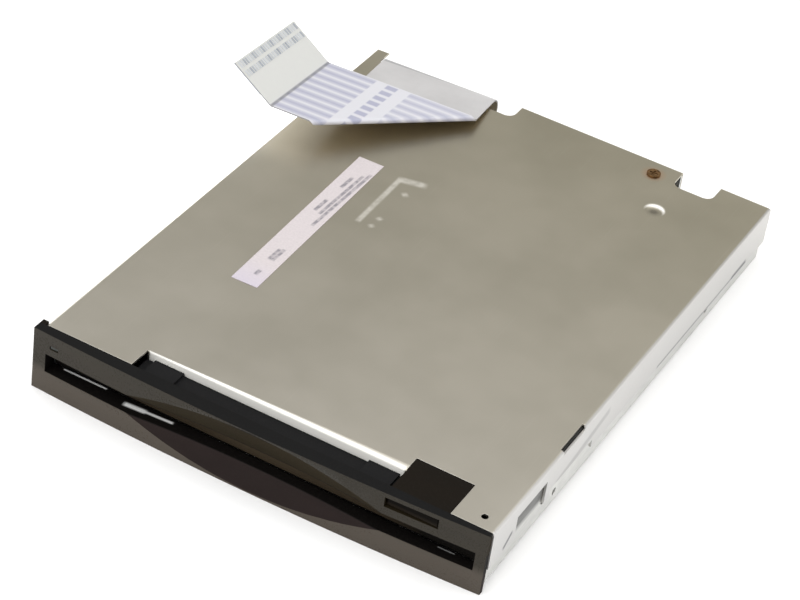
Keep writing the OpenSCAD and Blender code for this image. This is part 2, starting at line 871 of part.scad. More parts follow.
// Point and section of a coil along Y
function coil_point(r, y0, len, turns, t) =
    [r * cos(360 * turns * t), y0 + len * t, r * sin(360 * turns * t)];
function coil_ring(r, wire, y0, len, turns, t, sides) =
    let (a = 360 * turns * t,
         out = [cos(a), 0, sin(a)],
         ahead = [-sin(a) * 2 * PI * r * turns, len, cos(a) * 2 * PI * r * turns],
         across = cross(ahead / norm(ahead), out),
         mid = coil_point(r, y0, len, turns, t))
    [for (k = [0:sides - 1]) mid + wire / 2 * (cos(360 * k / sides) * out + sin(360 * k / sides) * across)];

// Closed tube through rings of equal length
module tube(rings) {
    sides = len(rings[0]);
    last = len(rings) - 1;
    points = [for (ring = rings) for (p = ring) p];
    walls = [for (i = [0:last - 1]) for (k = [0:sides - 1])
        let (a = i * sides + k, b = i * sides + (k + 1) % sides)
        each [[a, b, b + sides], [a, b + sides, a + sides]]];
    caps = [[for (k = [0:sides - 1]) sides - 1 - k], [for (k = [0:sides - 1]) last * sides + k]];
    polyhedron(points, concat(walls, caps));
}

// Two tension springs that pull the slider forward
module eject_springs() {
    steps = spring_turns * 8;
    len = lug_y - hook_y;
    rings = [for (i = [0:steps])
        coil_ring(spring_r - spring_wire / 2, spring_wire, hook_y, len, spring_turns, i / steps, 6)];
    color("silver") for (x = [-spring_x, spring_x]) translate([x, 0, spring_z]) tube(rings);
}

// Holder that takes the disk, open at the front
module disk_holder() {
    window_front = head_y - head_travel - head_half - head_window_margin;
    color("lightgray") difference() {
        union() {
            box(-holder_x, holder_x, holder_front, holder_rear, bay_z1, holder_top);
            both_sides() box(holder_in, holder_x, holder_front, holder_rear, bay_z0 - sheet_t, holder_top);
            both_sides() box(holder_x - lip_w, holder_x, holder_front, holder_rear, bay_z0 - sheet_t, bay_z0);
            both_sides() box(stop_in, stop_in + stop_w, holder_rear - sheet_t, holder_rear,
                bay_z0, holder_top);
        }
        box(-head_window, head_window, window_front, holder_rear + eps, bay_z1 - eps, holder_top + eps);
        bar_z(lever_x, lever_y, bay_z1 - eps, holder_top + eps, lever_pin_r + fit_gap);
        lever_slot();
    }
}

// Arc in the holder's top that the shutter lever's tip runs in
module lever_slot() {
    r = lever_tip_r + lever_tip_gap;
    translate([lever_x, lever_y, bay_z1 - eps]) rotate([0, 0, lever_rest - lever_spare])
        rotate_extrude(angle = lever_swing + 2 * lever_spare)
            translate([lever_len - r, 0]) square([2 * r, sheet_t + 2 * eps]);
}

// Pins on the holder's sides
module holder_pins() {
    color("silver") both_sides() for (y = pin_ys) bar_x(holder_x, frame_x - seat_gap, y, pin_z, pin_r);
}

// Lever that opens the disk's shutter
module shutter_lever() {
    color("whitesmoke") translate([lever_x, lever_y, 0]) rotate([0, 0, lever_rest]) difference() {
        union() {
            bar_z(0, 0, lever_z, lever_z + lever_t, lever_hub_r);
            box(0, lever_len, -lever_w / 2, lever_w / 2, lever_z, lever_z + lever_t);
            bar_z(lever_len, 0, lever_z, lever_z + lever_t, lever_w / 2);
            bar_z(lever_len, 0, bay_z1 - lever_tip_reach, lever_z + eps, lever_tip_r);
        }
        bar_z(0, 0, lever_z - eps, lever_z + lever_t + eps, lever_pin_r + run_gap);
    }
}

// Headed pin that the shutter lever turns on
module lever_pin() {
    neck = lever_z + lever_t + run_gap;
    color("silver") {
        bar_z(lever_x, lever_y, bay_z1, neck + eps, lever_pin_r);
        bar_z(lever_x, lever_y, neck, neck + lever_pin_head_t, lever_pin_head_r);
    }
}

// Stator: flat plate and a core with teeth
module spindle_stator() {
    color("slategray") {
        spindle_ring(bush_r + seat_gap, stator_r, base_t, plate_top);
        spindle_ring(core_in, core_out, plate_top - eps, core_top);
        stator_teeth() {
            box(core_out - tooth_half / 2, tooth_tip_in + eps, -tooth_half, tooth_half,
                plate_top - eps, core_top);
            box(tooth_tip_in, tooth_tip_out, -tooth_tip_half, tooth_tip_half, plate_top - eps, core_top);
        }
    }
}

// One copy of a shape for each tooth
module stator_teeth() {
    for (i = [0:teeth - 1]) translate([0, spindle_y, 0]) rotate([0, 0, i * 360 / teeth]) children();
}

// Copper coils on the teeth
module spindle_coils() {
    color("chocolate") stator_teeth() difference() {
        box(coil_in, coil_out, -coil_half, coil_half, plate_top, core_top + coil_rise);
        box(coil_in - eps, coil_out + eps, -tooth_half - fit_gap, tooth_half + fit_gap,
            plate_top - eps, core_top + fit_gap);
    }
}

// Plain bearing that carries the spindle
module spindle_bush() {
    color("darkgoldenrod") difference() {
        bar_z(0, spindle_y, 0, bush_top, bush_r);
        bar_z(0, spindle_y, bush_floor, bush_top + eps, shaft_r + run_gap);
    }
}

// Cup of the rotor
module rotor_cup() {
    color("silver") {
        spindle_ring(shaft_r + fit_gap, rotor_r, cup_under, cup_top);
        spindle_ring(rotor_r - rim_t, rotor_r, rotor_z0, cup_under + eps);
    }
}

// Ring magnet inside the rotor's rim
module rotor_magnet() {
    rim_in = rotor_r - rim_t;
    color("dimgray") spindle_ring(rim_in - magnet_t, rim_in - fit_gap, rotor_z0, cup_under);
}

// Table that the disk's hub sits on
module hub_table() {
    color("gainsboro") difference() {
        spindle_ring(shaft_r + fit_gap, hub_r, cup_top, hub_top);
        spindle_ring(hub_magnet_in, hub_magnet_out, hub_top - hub_groove, hub_top + eps);
        bar_z(drive_pin_off, spindle_y, cup_top - eps, hub_top + eps, drive_pin_r + fit_gap);
    }
}

// Ring magnet that holds the disk's hub
module hub_magnet() {
    color("black")
        spindle_ring(hub_magnet_in + fit_gap, hub_magnet_out - fit_gap, hub_top - hub_groove, hub_top);
}

// Spindle shaft
module spindle_shaft() {
    color("silver") bar_z(0, spindle_y, bush_floor + run_gap, hub_top + shaft_rise, shaft_r);
}

// Pin that turns the disk's hub
module drive_pin() {
    color("silver") bar_z(drive_pin_off, spindle_y, cup_top, hub_top + drive_pin_rise, drive_pin_r);
}

// Stepper motor, round, with a front boss
module stepper_motor() {
    y0 = motor_y + bracket_t;
    color("silver") difference() {
        bar_y(screw_x, y0, y0 + motor_len - bracket_t, screw_z, stepper_r);
        bar_y(screw_x, y0 - eps, y0 + journal_len + journal_end_gap, screw_z, journal_r + run_gap);
    }
}

// Bracket that holds the motor and the far end of the lead screw
module stepper_bracket() {
    x0 = screw_x - bracket_half;
    x1 = screw_x + bracket_half;
    color("gainsboro") difference() {
        union() {
            box(x0, x1, clip_y, motor_y + bracket_t, base_t, base_t + bracket_foot);
            box(screw_x - bracket_front_half, screw_x + bracket_front_half, clip_y, clip_y + bracket_t,
                base_t, screw_z + bracket_front_rise);
            box(x0, x1, motor_y, motor_y + bracket_t, base_t, screw_z + bracket_rise);
        }
        bar_y(screw_x, clip_y - eps, clip_y + bracket_t + eps, screw_z, journal_r + run_gap);
        bar_y(screw_x, motor_y - eps, motor_y + bracket_t + eps, screw_z, journal_r + run_gap);
        for (y = bracket_screw_ys) bar_z(screw_x, y, base_t - eps, base_t + bracket_foot + eps,
            post_screw_r + fit_gap);
    }
}

// Screw through the base, with its head on top of a seat
module base_screw(x, y, seat) {
    bar_z(x, y, screw_end_in, seat + eps, post_screw_r);
    bar_z(x, y, seat, seat + post_screw_head_h, post_screw_head_r);
}

// Screws in the bracket's foot
module bracket_screws() {
    color("silver") for (y = bracket_screw_ys) base_screw(screw_x, y, base_t + bracket_foot);
}

// Section of the lead screw: a circle that runs round the axis once in each pitch
function screw_ring(y, wave, sides) =
    let (turn = 360 * y / screw_pitch)
    [for (k = [0:sides - 1]) let (a = 360 * k / sides)
        [wave * cos(turn) + (screw_r - wave) * cos(a), y, wave * sin(turn) + (screw_r - wave) * sin(a)]];

// Lead screw with its journals
module lead_screw() {
    y0 = clip_y + bracket_t + thread_gap;
    y1 = motor_y - thread_gap;
    steps = ceil((y1 - y0) / screw_pitch * 8);
    color("silver") {
        bar_y(screw_x, clip_y, y0 + eps, screw_z, journal_r);
        bar_y(screw_x, y1 - eps, motor_y + bracket_t + journal_len, screw_z, journal_r);
        translate([screw_x, y0, screw_z])
            tube([for (i = [0:steps]) screw_ring((y1 - y0) * i / steps, thread_wave, 10)]);
    }
}

// Rods that the carriage slides on
module guide_rods() {
    color("silver") both_sides() bar_y(rod_x, clip_y, rear_clip_y + clip_len, rod_z, rod_r);
}

// Clips that hold the rods' ends
module rod_clips() {
    color("black") both_sides() for (y = [clip_y, rear_clip_y]) difference() {
        box(rod_x - clip_w / 2, rod_x + clip_w / 2, y, y + clip_len, base_t, rod_z + rod_r + clip_wall);
        bar_y(rod_x, y - eps, y + clip_len + eps, rod_z, rod_r + fit_gap);
    }
}

// Head carriage: block on the rods, plate under the disk and arm to the lead screw
module head_carriage() {
    color("saddlebrown") difference() {
        union() {
            box(-block_x, block_x, block_y, block_y + block_len, plate_z0, hinge_z + block_rise);
            box(-plate_half_w, plate_half_w, head_y - head_half - plate_lap, block_y + eps,
                plate_z0, plate_z1);
            box(block_x - eps, follower_x, hinge_y - follower_arm_half_w, hinge_y + follower_arm_half_w,
                screw_z - follower_arm_half_h, screw_z + follower_arm_half_h);
        }
        both_sides() bar_y(rod_x, block_y - eps, block_y + block_len + eps, rod_z, rod_r + run_gap);
        box(-pocket_half, pocket_half, block_y - eps, block_y + block_len + eps,
            hinge_z - knuckle_r - knuckle_gap, hinge_z + block_rise + eps);
        bar_x(-cheek_x, cheek_x, hinge_y, hinge_z, arm_pin_r + fit_gap);
        bar_x(follower_x - follower_depth, follower_x + eps, hinge_y, screw_z, follower_r + fit_gap);
    }
}

// Pin in the lead screw's groove
module follower_pin() {
    color("silver") bar_x(follower_x - follower_depth, follower_end, hinge_y, screw_z, follower_r);
}

// Lower head on its gimbal
module lower_head() {
    color("dimgray") {
        box(-head_half, head_half, head_y - head_half, head_y + head_half, plate_z1, plate_z1 + gimbal_t);
        box(-core_half_w, core_half_w, head_y - core_half_l, head_y + core_half_l,
            plate_z1 + gimbal_t - eps, media_z);
    }
}

// Place of the upper arm: lifted about its hinge
module arm_place() {
    translate([0, hinge_y, hinge_z]) rotate([-arm_lift, 0, 0]) children();
}

// Upper head arm with its knuckle
module upper_head_arm() {
    color("gainsboro") arm_place() difference() {
        union() {
            box(-arm_half_w, arm_half_w, -arm_reach - head_half, 0, -arm_t / 2, arm_t / 2);
            bar_x(-arm_half_w, arm_half_w, 0, 0, knuckle_r);
        }
        bar_x(-arm_half_w - eps, arm_half_w + eps, 0, 0, arm_pin_r + run_gap);
        box(-arm_slot_half, arm_slot_half, -arm_reach + head_half + arm_slot_front, -arm_slot_rear,
            -arm_t, arm_t);
    }
}

// Hinge pin of the upper arm, held in the carriage's cheeks
module arm_pin() {
    color("silver") bar_x(-cheek_x, cheek_x, hinge_y, hinge_z, arm_pin_r);
}

// Upper head under the end of its arm
module upper_head() {
    color("dimgray") arm_place() box(-core_half_w, core_half_w, -arm_reach - core_half_l,
        -arm_reach + core_half_l, media_z + head_gap - hinge_z, -arm_t / 2);
}

// Main board
module main_board() {
    color("darkgreen") difference() {
        box(board_x0, board_x1, board_y0, board_y1, board_z, board_top);
        for (p = board_posts) bar_z(p[0], p[1], board_z - eps, board_top + eps, post_screw_r + fit_gap);
    }
}

// Chips on the main board
module board_chips() {
    color("black") for (c = chips) translate([board_x0 + c[0], board_y0 + c[1], board_top])
        cube([c[2], c[3], c[4]]);
}

// Screws that hold the main board
module board_screws() {
    color("silver") for (p = board_posts) base_screw(p[0], p[1], board_top);
}

// Sensor for the outermost track
module track_sensor() {
    color("black") translate([board_x1 - sensor_in - sensor_w, board_y0 + sensor_back, board_top])
        cube([sensor_w, sensor_d, sensor_h]);
}

// Socket that the flat cable plugs into
module cable_socket() {
    half = cable_w / 2;
    gap = cable_t / 2 + cable_room;
    color("ivory") difference() {
        box(cable_x - half - socket_wall, cable_x + half + socket_wall, cable_y - socket_back,
            cable_y + socket_front, board_top, cable_z + socket_rise);
        box(cable_x - half - cable_room, cable_x + half + cable_room, cable_y - socket_end_gap,
            cable_y + socket_front + eps, cable_z - gap, cable_z + gap);
    }
}

// Bodies of the two media switches
module switch_bodies() {
    color("black") both_sides() difference() {
        translate([switch_x - switch_w / 2, switch_y - switch_w / 2, base_t])
            cube([switch_w, switch_w, switch_h]);
        bar_z(switch_x, switch_y, base_t - eps, base_t + switch_h + eps, plunger_r + run_gap);
    }
}

// Plunger of one media switch
module plunger(side) {
    color("white") bar_z(side * switch_x, switch_y, base_t + plunger_travel + plunger_floor,
        plunger_top, plunger_r);
}

// Plunger that feels the write protect hole, at the left
module protect_plunger() {
    plunger(-1);
}

// Plunger that feels the density hole, at the right
module density_plunger() {
    plunger(1);
}

// A strip point [along, across, up] after a bend of the strip about a line, towards one side
function bend(p, at, angle, r, turn, side) =
    let (a = (p[0] - at) * cos(angle) + p[1] * sin(angle),
         b = p[1] * cos(angle) - (p[0] - at) * sin(angle),
         phi = min(max(a / r * 180 / PI, 0), turn),
         rest = a - r * phi * PI / 180,
         arm = r - side * p[2],
         ahead = arm * sin(phi) + rest * cos(phi))
    [at + ahead * cos(angle) - b * sin(angle), ahead * sin(angle) + b * cos(angle),
        side * (r - arm * cos(phi) + rest * sin(phi))];

// A point of the cable in place: creased, folded over itself, then bent up and over the cover
function cable_point(along, across, up) =
    let (creased = bend([along, across, up], crease_at, 0, crease_r, crease_turn, 1),
         folded = bend(creased, fold_at, fold_angle, fold_r, 180, -1),
         bent = bend(folded, cable_lead, cable_skew, cable_bend_r, 180 - cable_rise, 1))
    [cable_x + bent[1], cable_y + bent[0], cable_z + bent[2]];

// Section of the strip along a slanted row
function strip_ring(along, slant, w0, w1, u0, u1) =
    [for (c = [[w0, u0], [w0, u1], [w1, u1], [w1, u0]]) cable_point(along - slant * c[0], c[0], c[1])];

// Flat cable, folded once on the slant
module flat_cable() {
    half = cable_w / 2;
    bend_len = cable_bend_r * (180 - cable_rise) * PI / 180 / cos(cable_skew);
    fold_len = fold_r * PI / cos(fold_angle);
    rows = concat(
        [[0, 0]],
        [for (i = [0:bend_steps]) [cable_lead + bend_len * i / bend_steps, tan(cable_skew)]],
        [for (i = [0:fold_steps]) [fold_at + fold_len * i / fold_steps, tan(fold_angle)]],
        [for (i = [0:crease_steps]) [crease_at + crease_len * i / crease_steps, 0]],
        [[cable_len, 0]]);
    color("whitesmoke") tube([for (r = rows) strip_ring(r[0], r[1], -half, half, -cable_t / 2, cable_t / 2)]);
}

// Two rows of bare contacts at the cable's end
module cable_contacts() {
    pitch = cable_w / (conductors + 1);
    half = pitch * contact_share / 2;
    top = cable_t / 2;
    color("dimgray") for (i = [1:conductors]) for (back = contact_backs) {
        w = i * pitch - cable_w / 2;
        s = cable_len - back;
        tube([for (end = [s, s + contact_len]) strip_ring(end, 0, w - half, w + half, top, top + contact_t)]);
    }
}

// Stiffening film under the cable's end
module cable_stiffener() {
    half = cable_w / 2;
    low = -cable_t / 2;
    color("lightblue") tube([for (s = [cable_len - stiffener_len, cable_len])
        strip_ring(s, 0, -half, half, low - stiffener_t, low)]);
}

// Paper label on the cover
module label() {
    color("lavender") translate([label_x, label_y, body_h]) rotate([0, 0, label_turn])
        box(-label_w / 2, label_w / 2, -label_len / 2, label_len / 2, 0, label_t);
}

frame();
top_cover();
cover_screw();
front_bezel();
activity_light();
dust_door();
eject_button();
slider_plate();
eject_springs();
disk_holder();
holder_pins();
shutter_lever();
lever_pin();
spindle_stator();
spindle_coils();
spindle_bush();
rotor_cup();
rotor_magnet();
hub_table();
hub_magnet();
spindle_shaft();
drive_pin();
stepper_motor();
stepper_bracket();
bracket_screws();
lead_screw();
guide_rods();
rod_clips();
head_carriage();
follower_pin();
lower_head();
upper_head_arm();
arm_pin();
upper_head();
main_board();
board_chips();
board_screws();
track_sensor();
cable_socket();
switch_bodies();
protect_plunger();
density_plunger();
flat_cable();
cable_contacts();
cable_stiffener();
label();
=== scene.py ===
import json
import math

import bmesh
import bpy
from mathutils import Matrix, Vector


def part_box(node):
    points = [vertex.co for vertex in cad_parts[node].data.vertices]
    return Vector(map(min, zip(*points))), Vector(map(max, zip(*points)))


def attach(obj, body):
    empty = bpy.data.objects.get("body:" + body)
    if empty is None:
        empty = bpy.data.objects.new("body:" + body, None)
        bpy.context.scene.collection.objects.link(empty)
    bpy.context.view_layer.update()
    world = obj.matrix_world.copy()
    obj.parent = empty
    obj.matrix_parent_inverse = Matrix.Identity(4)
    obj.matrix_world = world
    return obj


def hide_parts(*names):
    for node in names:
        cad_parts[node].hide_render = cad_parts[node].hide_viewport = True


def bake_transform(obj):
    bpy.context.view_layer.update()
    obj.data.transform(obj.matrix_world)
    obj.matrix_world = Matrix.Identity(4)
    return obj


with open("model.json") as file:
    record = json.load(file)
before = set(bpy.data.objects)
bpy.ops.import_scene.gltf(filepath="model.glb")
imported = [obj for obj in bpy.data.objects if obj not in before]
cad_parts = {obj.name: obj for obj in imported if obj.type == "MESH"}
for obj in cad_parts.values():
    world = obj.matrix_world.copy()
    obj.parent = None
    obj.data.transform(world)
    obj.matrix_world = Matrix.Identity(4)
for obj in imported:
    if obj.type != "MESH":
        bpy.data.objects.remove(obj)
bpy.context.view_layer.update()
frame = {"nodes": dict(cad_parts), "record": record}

MM = 0.001
PER_MM = (1 / MM, 1 / MM, 1 / MM)
NODES = frame["nodes"]
SLOT_OF = {part["node"]: part["material_slot"] for part in frame["record"]["subparts"]}
BODY_OF = {node: body for body, nodes in frame["record"]["behaviour"]["bodies"].items() for node in nodes}

# Camera, solved from the cover's corners in the photograph
PHOTO_W = 800
FOCAL_PX = 2687
SENSOR = 36
EYE = Vector((0.1722, -0.3961, 0.3274))
AZIMUTH = math.radians(24.12)
ELEVATION = math.radians(36.96)
ROLL = math.radians(8.73)


def make_camera():
    """The photograph's camera, turned about its own axis by ROLL."""
    forward = Vector((-math.sin(AZIMUTH) * math.cos(ELEVATION), math.cos(AZIMUTH) * math.cos(ELEVATION),
                      -math.sin(ELEVATION)))
    level = Vector((math.cos(AZIMUTH), math.sin(AZIMUTH), 0))
    upright = level.cross(forward)
    right = math.cos(ROLL) * level + math.sin(ROLL) * upright
    up = math.cos(ROLL) * upright - math.sin(ROLL) * level
    data = bpy.data.cameras.new("camera")
    data.sensor_fit = "HORIZONTAL"
    data.sensor_width = SENSOR
    data.lens = FOCAL_PX / PHOTO_W * SENSOR
    camera = bpy.data.objects.new("camera", data)
    turn = Matrix((right, up, -forward)).transposed().to_4x4()
    camera.matrix_world = Matrix.Translation(EYE) @ turn
    bpy.context.scene.collection.objects.link(camera)
    bpy.context.scene.camera = camera


# Node helpers
NOISE_ROUGH = 0.55
SPREAD = (0.3, 0.7)
STEEP = (0.35, 0.65)
PEAKS = (0.5, 0.75)
BEVEL_SAMPLES = 6
EDGE_FACING = (0.99, 0.8)


def add(tree, kind, inputs=None, **settings):
    """A shader node with its settings, and its inputs by name or number, as values or as links."""
    node = tree.nodes.new("ShaderNode" + kind)
    for name, value in settings.items():
        setattr(node, name, value)
    for name, value in (inputs or {}).items():
        if isinstance(value, bpy.types.NodeSocket):
            tree.links.new(value, node.inputs[name])
        else:
            node.inputs[name].default_value = value
    return node


def new_material(name, **values):
    """A material, its node tree and its shader, with values set straight on the shader."""
    material = bpy.data.materials.new(name)
    material.use_nodes = True
    shader = material.node_tree.nodes["Principled BSDF"]
    for socket, value in values.items():
        shader.inputs[socket.replace("_", " ")].default_value = value
    return material, material.node_tree, shader


def connect(tree, shader, **sockets):
    """Links values to a shader's sockets, with _ for each blank in a socket's name."""
    for name, value in sockets.items():
        tree.links.new(value, shader.inputs[name.replace("_", " ")])


def base_tone(material):
    """A material's tree, its shader's colour socket and the tone that goes into it."""
    tree = material.node_tree
    base = tree.nodes["Principled BSDF"].inputs["Base Color"]
    return tree, base, base.links[0].from_socket


def object_place(tree):
    """The CAD place of the point that is shaded, in metres."""
    return add(tree, "TexCoord").outputs["Object"]


def axes_of(tree, place):
    """The X, Y and Z of a place."""
    return add(tree, "SeparateXYZ", {"Vector": place}).outputs


def stretched(tree, place, scale, turn=0.0):
    """The place scaled along each axis and then turned about Z."""
    return add(tree, "Mapping", {"Vector": place, "Rotation": (0, 0, turn), "Scale": scale}).outputs["Vector"]


def noise(tree, place, scale, detail):
    """Noise about 0.5, which seldom leaves SPREAD."""
    return add(tree, "TexNoise", {"Vector": place, "Scale": scale, "Detail": detail,
                                  "Roughness": NOISE_ROUGH}).outputs["Fac"]


def between(tree, value, low, high, to_low=0.0, to_high=1.0):
    """The value spread from low..high to to_low..to_high, and held at both ends."""
    return add(tree, "MapRange", {"Value": value, "From Min": low, "From Max": high, "To Min": to_low,
                                  "To Max": to_high}).outputs["Result"]


def maths(tree, operation, first, second=0.5):
    return add(tree, "Math", {0: first, 1: second}, operation=operation).outputs["Value"]


def times(tree, first, second):
    return maths(tree, "MULTIPLY", first, second)


def plus(tree, first, second):
    return maths(tree, "ADD", first, second)


def away(tree, value, middle):
    """How far a value is from a middle."""
    return maths(tree, "ABSOLUTE", maths(tree, "SUBTRACT", value, middle))


def blend(tree, share, first, second, kind="MIX"):
    """The first colour, with a share of the second over it."""
    def colour(value):
        return value if isinstance(value, bpy.types.NodeSocket) else (*value, 1)
    return add(tree, "MixRGB", {"Fac": share, "Color1": colour(first), "Color2": colour(second)},
               blend_type=kind).outputs["Color"]


def rounded_normal(tree, radius):
    """The surface's normal, turned near sharp edges as if a radius rounded them."""
    return add(tree, "Bevel", {"Radius": radius}, samples=BEVEL_SAMPLES).outputs["Normal"]


def worn_edges(tree, tone, radius, share, colour):
    """The tone, with a share of a colour within about a radius of sharp edges."""
    true = add(tree, "NewGeometry").outputs["Normal"]
    facing = add(tree, "VectorMath", {0: rounded_normal(tree, radius), 1: true}, operation="DOT_PRODUCT")
    edge = between(tree, facing.outputs["Value"], *EDGE_FACING)
    return blend(tree, times(tree, edge, share), tone, colour)


def bumped(tree, shader, height, distance, strength, edge_radius=0.0):
    """Raises the surface by the height, with its sharp edges rounded by a radius."""
    node = add(tree, "Bump", {"Height": height, "Distance": distance, "Strength": strength})
    if edge_radius:
        tree.links.new(rounded_normal(tree, edge_radius), node.inputs["Normal"])
    tree.links.new(node.outputs["Normal"], shader.inputs["Normal"])


def from_point(tree, place, point):
    """Distance of the place from an upright line through a point, in millimetres."""
    flat = add(tree, "VectorMath", {0: place, 1: (1, 1, 0)}, operation="MULTIPLY").outputs[0]
    node = add(tree, "VectorMath", {0: flat, 1: (point[0] * MM, point[1] * MM, 0)}, operation="DISTANCE")
    return maths(tree, "DIVIDE", node.outputs["Value"], MM)


def on_line(tree, place, start, end, half):
    """1 within half a width of a line seen from above, in millimetres, and 0 away from it."""
    run = Vector(end) - Vector(start)
    from_start = add(tree, "VectorMath", {0: place, 1: (start[0] * MM, start[1] * MM, 0)},
                     operation="SUBTRACT").outputs[0]
    axes = axes_of(tree, stretched(tree, from_start, PER_MM, -math.atan2(run.y, run.x)))
    ahead = away(tree, axes["X"], run.length / 2)
    aside = maths(tree, "ABSOLUTE", axes["Y"])
    return times(tree, between(tree, ahead, run.length / 2 + half, run.length / 2),
                 between(tree, aside, half, half * 0.4))


def side_painted_shades(tree, axes, wall, tone, painted_shades, colour):
    """The tone, with painted shade on a side wall: lines in Y and Z, each with half its width and a strength.
    """
    from_side = add(tree, "CombineXYZ", {"X": axes["Y"], "Y": axes["Z"]}).outputs[0]
    for start, end, half, strength in painted_shades:
        painted_shade = times(tree, on_line(tree, from_side, start, end, half), wall)
        tone = blend(tree, times(tree, painted_shade, strength), tone, colour)
    return tone


# Metals
EDGE_R = 0.12 * MM
METAL_CLOUD = 60
METAL_SPECK = 420
METAL_GRAIN = (2600, 220, 2600)
METAL_SCRATCHES = (5200, 60, 60)
SCRATCH_TURN = 0.6
METAL_SCRATCHED = 0.25
METAL_WORN = 0.35
METAL_EDGE = (0.9, 0.89, 0.86)


def sheet_metal(name, dark, light, rough):
    """Rolled sheet: cloudy tone, fine grain in one direction, hair scratches and bright edges."""
    material, tree, shader = new_material(name, Metallic=1.0)
    place = object_place(tree)
    cloud = noise(tree, place, METAL_CLOUD, 4)
    speck = noise(tree, place, METAL_SPECK, 3)
    streak = noise(tree, stretched(tree, place, METAL_GRAIN), 1, 2)
    scratches = noise(tree, stretched(tree, place, METAL_SCRATCHES, SCRATCH_TURN), 1, 1)
    scratch = times(tree, between(tree, scratches, 0.69, 0.74), METAL_SCRATCHED)
    tone = blend(tree, between(tree, cloud, 0.33, 0.67), dark, light)
    tone = blend(tree, between(tree, speck, *STEEP, 0, 0.3), tone, dark)
    tone = blend(tree, scratch, tone, light, "SCREEN")
    tone = worn_edges(tree, tone, EDGE_R, METAL_WORN, METAL_EDGE)
    shine = plus(tree, between(tree, streak, *SPREAD, *rough), between(tree, cloud, *SPREAD, -0.04, 0.04))
    connect(tree, shader, Base_Color=tone, Roughness=shine)
    bumped(tree, shader, streak, 0.01 * MM, 0.5, EDGE_R)
    return material


# The cover's own tones at its front and rear end, painted darker and yellower towards the rear as painted
# shade, and its marks in millimetres
COVER_TONES_FRONT_LIT = ((0.452, 0.427, 0.37), (0.492, 0.465, 0.408))
COVER_TONES_REAR_SHADED = ((0.386, 0.357, 0.276), (0.425, 0.392, 0.308))
COVER_END = 60 * MM
COVER_CLOUD = 45
COVER_FINE = 1400
COVER_SCRATCHES = (4200, 50, 50)
COVER_SCRATCHED = 0.05
SCRATCH_TONE = (0.7, 0.68, 0.62)
COVER_WORN = 0.35
COVER_EDGE = (0.88, 0.87, 0.84)
COVER_MARK = (((-18.5, 3.5), (-18.9, 21.5), 0.8), ((-18.4, 21.6), (-14.2, 22.6), 1.3),
              ((-15.5, 17.4), (-15.3, 17.2), 0.9), ((-15.5, 3.4), (-15.4, 3.5), 0.8),
              ((-15.4, 6.5), (-15.3, 6.7), 0.8))
MARK_MOTTLE = 500
MARK_TONE = (0.82, 0.79, 0.72)
LIP_X = -0.9 * MM
LIP_HALF = 27.6 * MM
LIP_BACK = -55.8 * MM
LIP_HIGH = 12.68 * MM
# The lip is painted pale and hardly metallic, a painted highlight
LIP_PAINTED_HIGHLIGHT = (1.0, 0.985, 0.93)
# Metallic where a highlight is painted, on the lip and in the dimple
PAINTED_LIGHT_METALLIC = 0.05
DIMPLE = (28.4, 46.1)
DIMPLE_R = 2.1
# The dimple's painted shade and painted highlight
DIMPLE_PAINTED_SHADE = (0.1, 0.09, 0.075)
DIMPLE_PAINTED_HIGHLIGHT = (0.95, 0.94, 0.9)
SCREW = (22.6, 58.1)
SCREW_HALO = (0.5, 0.3, 0.17)
WALL_X = 47.45 * MM
# The right wall is painted lighter and greyer than the top, painted light from the lamp at the right
WALL_PAINTED_LIGHT = (0.62, 0.62, 0.63)
# Painted shadow lines along the flange and painted shade in small recesses on the right wall
WALL_PAINTED_SHADES = (((-15, 8.8), (-36, 5.8), 1.1, 0.3), ((9, 4.2), (53, 4.2), 0.6, 0.6),
              ((46, 4.3), (52.5, 4.5), 0.9, 0.8), ((-54.8, 6.8), (-57.3, 5.2), 0.7, 0.85))
WALL_SHADE_TONE = (0.1, 0.1, 0.11)


def dimple_painted_light(tree, place):
    """Painted shade in the dimple's hollow and a painted highlight in a crescent at its rear rim."""
    x, y = DIMPLE
    middle = between(tree, from_point(tree, place, (x, y - 0.3)), 1.3, 0.5)
    rim = between(tree, from_point(tree, place, DIMPLE), DIMPLE_R + 0.3, DIMPLE_R - 0.2)
    behind = maths(tree, "SUBTRACT", from_point(tree, place, (x, y - 0.9)), DIMPLE_R + 0.35)
    return times(tree, middle, 0.55), times(tree, rim, between(tree, behind, -0.6, 0.1))


def lip_highlight_mask(tree, axes):
    """1 on the lip of the cover's front notch, where a highlight is painted, and 0 elsewhere."""
    lip_highlight = times(tree, between(tree, axes["Y"], LIP_BACK, LIP_BACK - 0.3 * MM),
                between(tree, axes["Z"], LIP_HIGH, LIP_HIGH - 0.1 * MM))
    return times(tree, lip_highlight, between(tree, away(tree, axes["X"], LIP_X), LIP_HALF, LIP_HALF - 0.2 * MM))


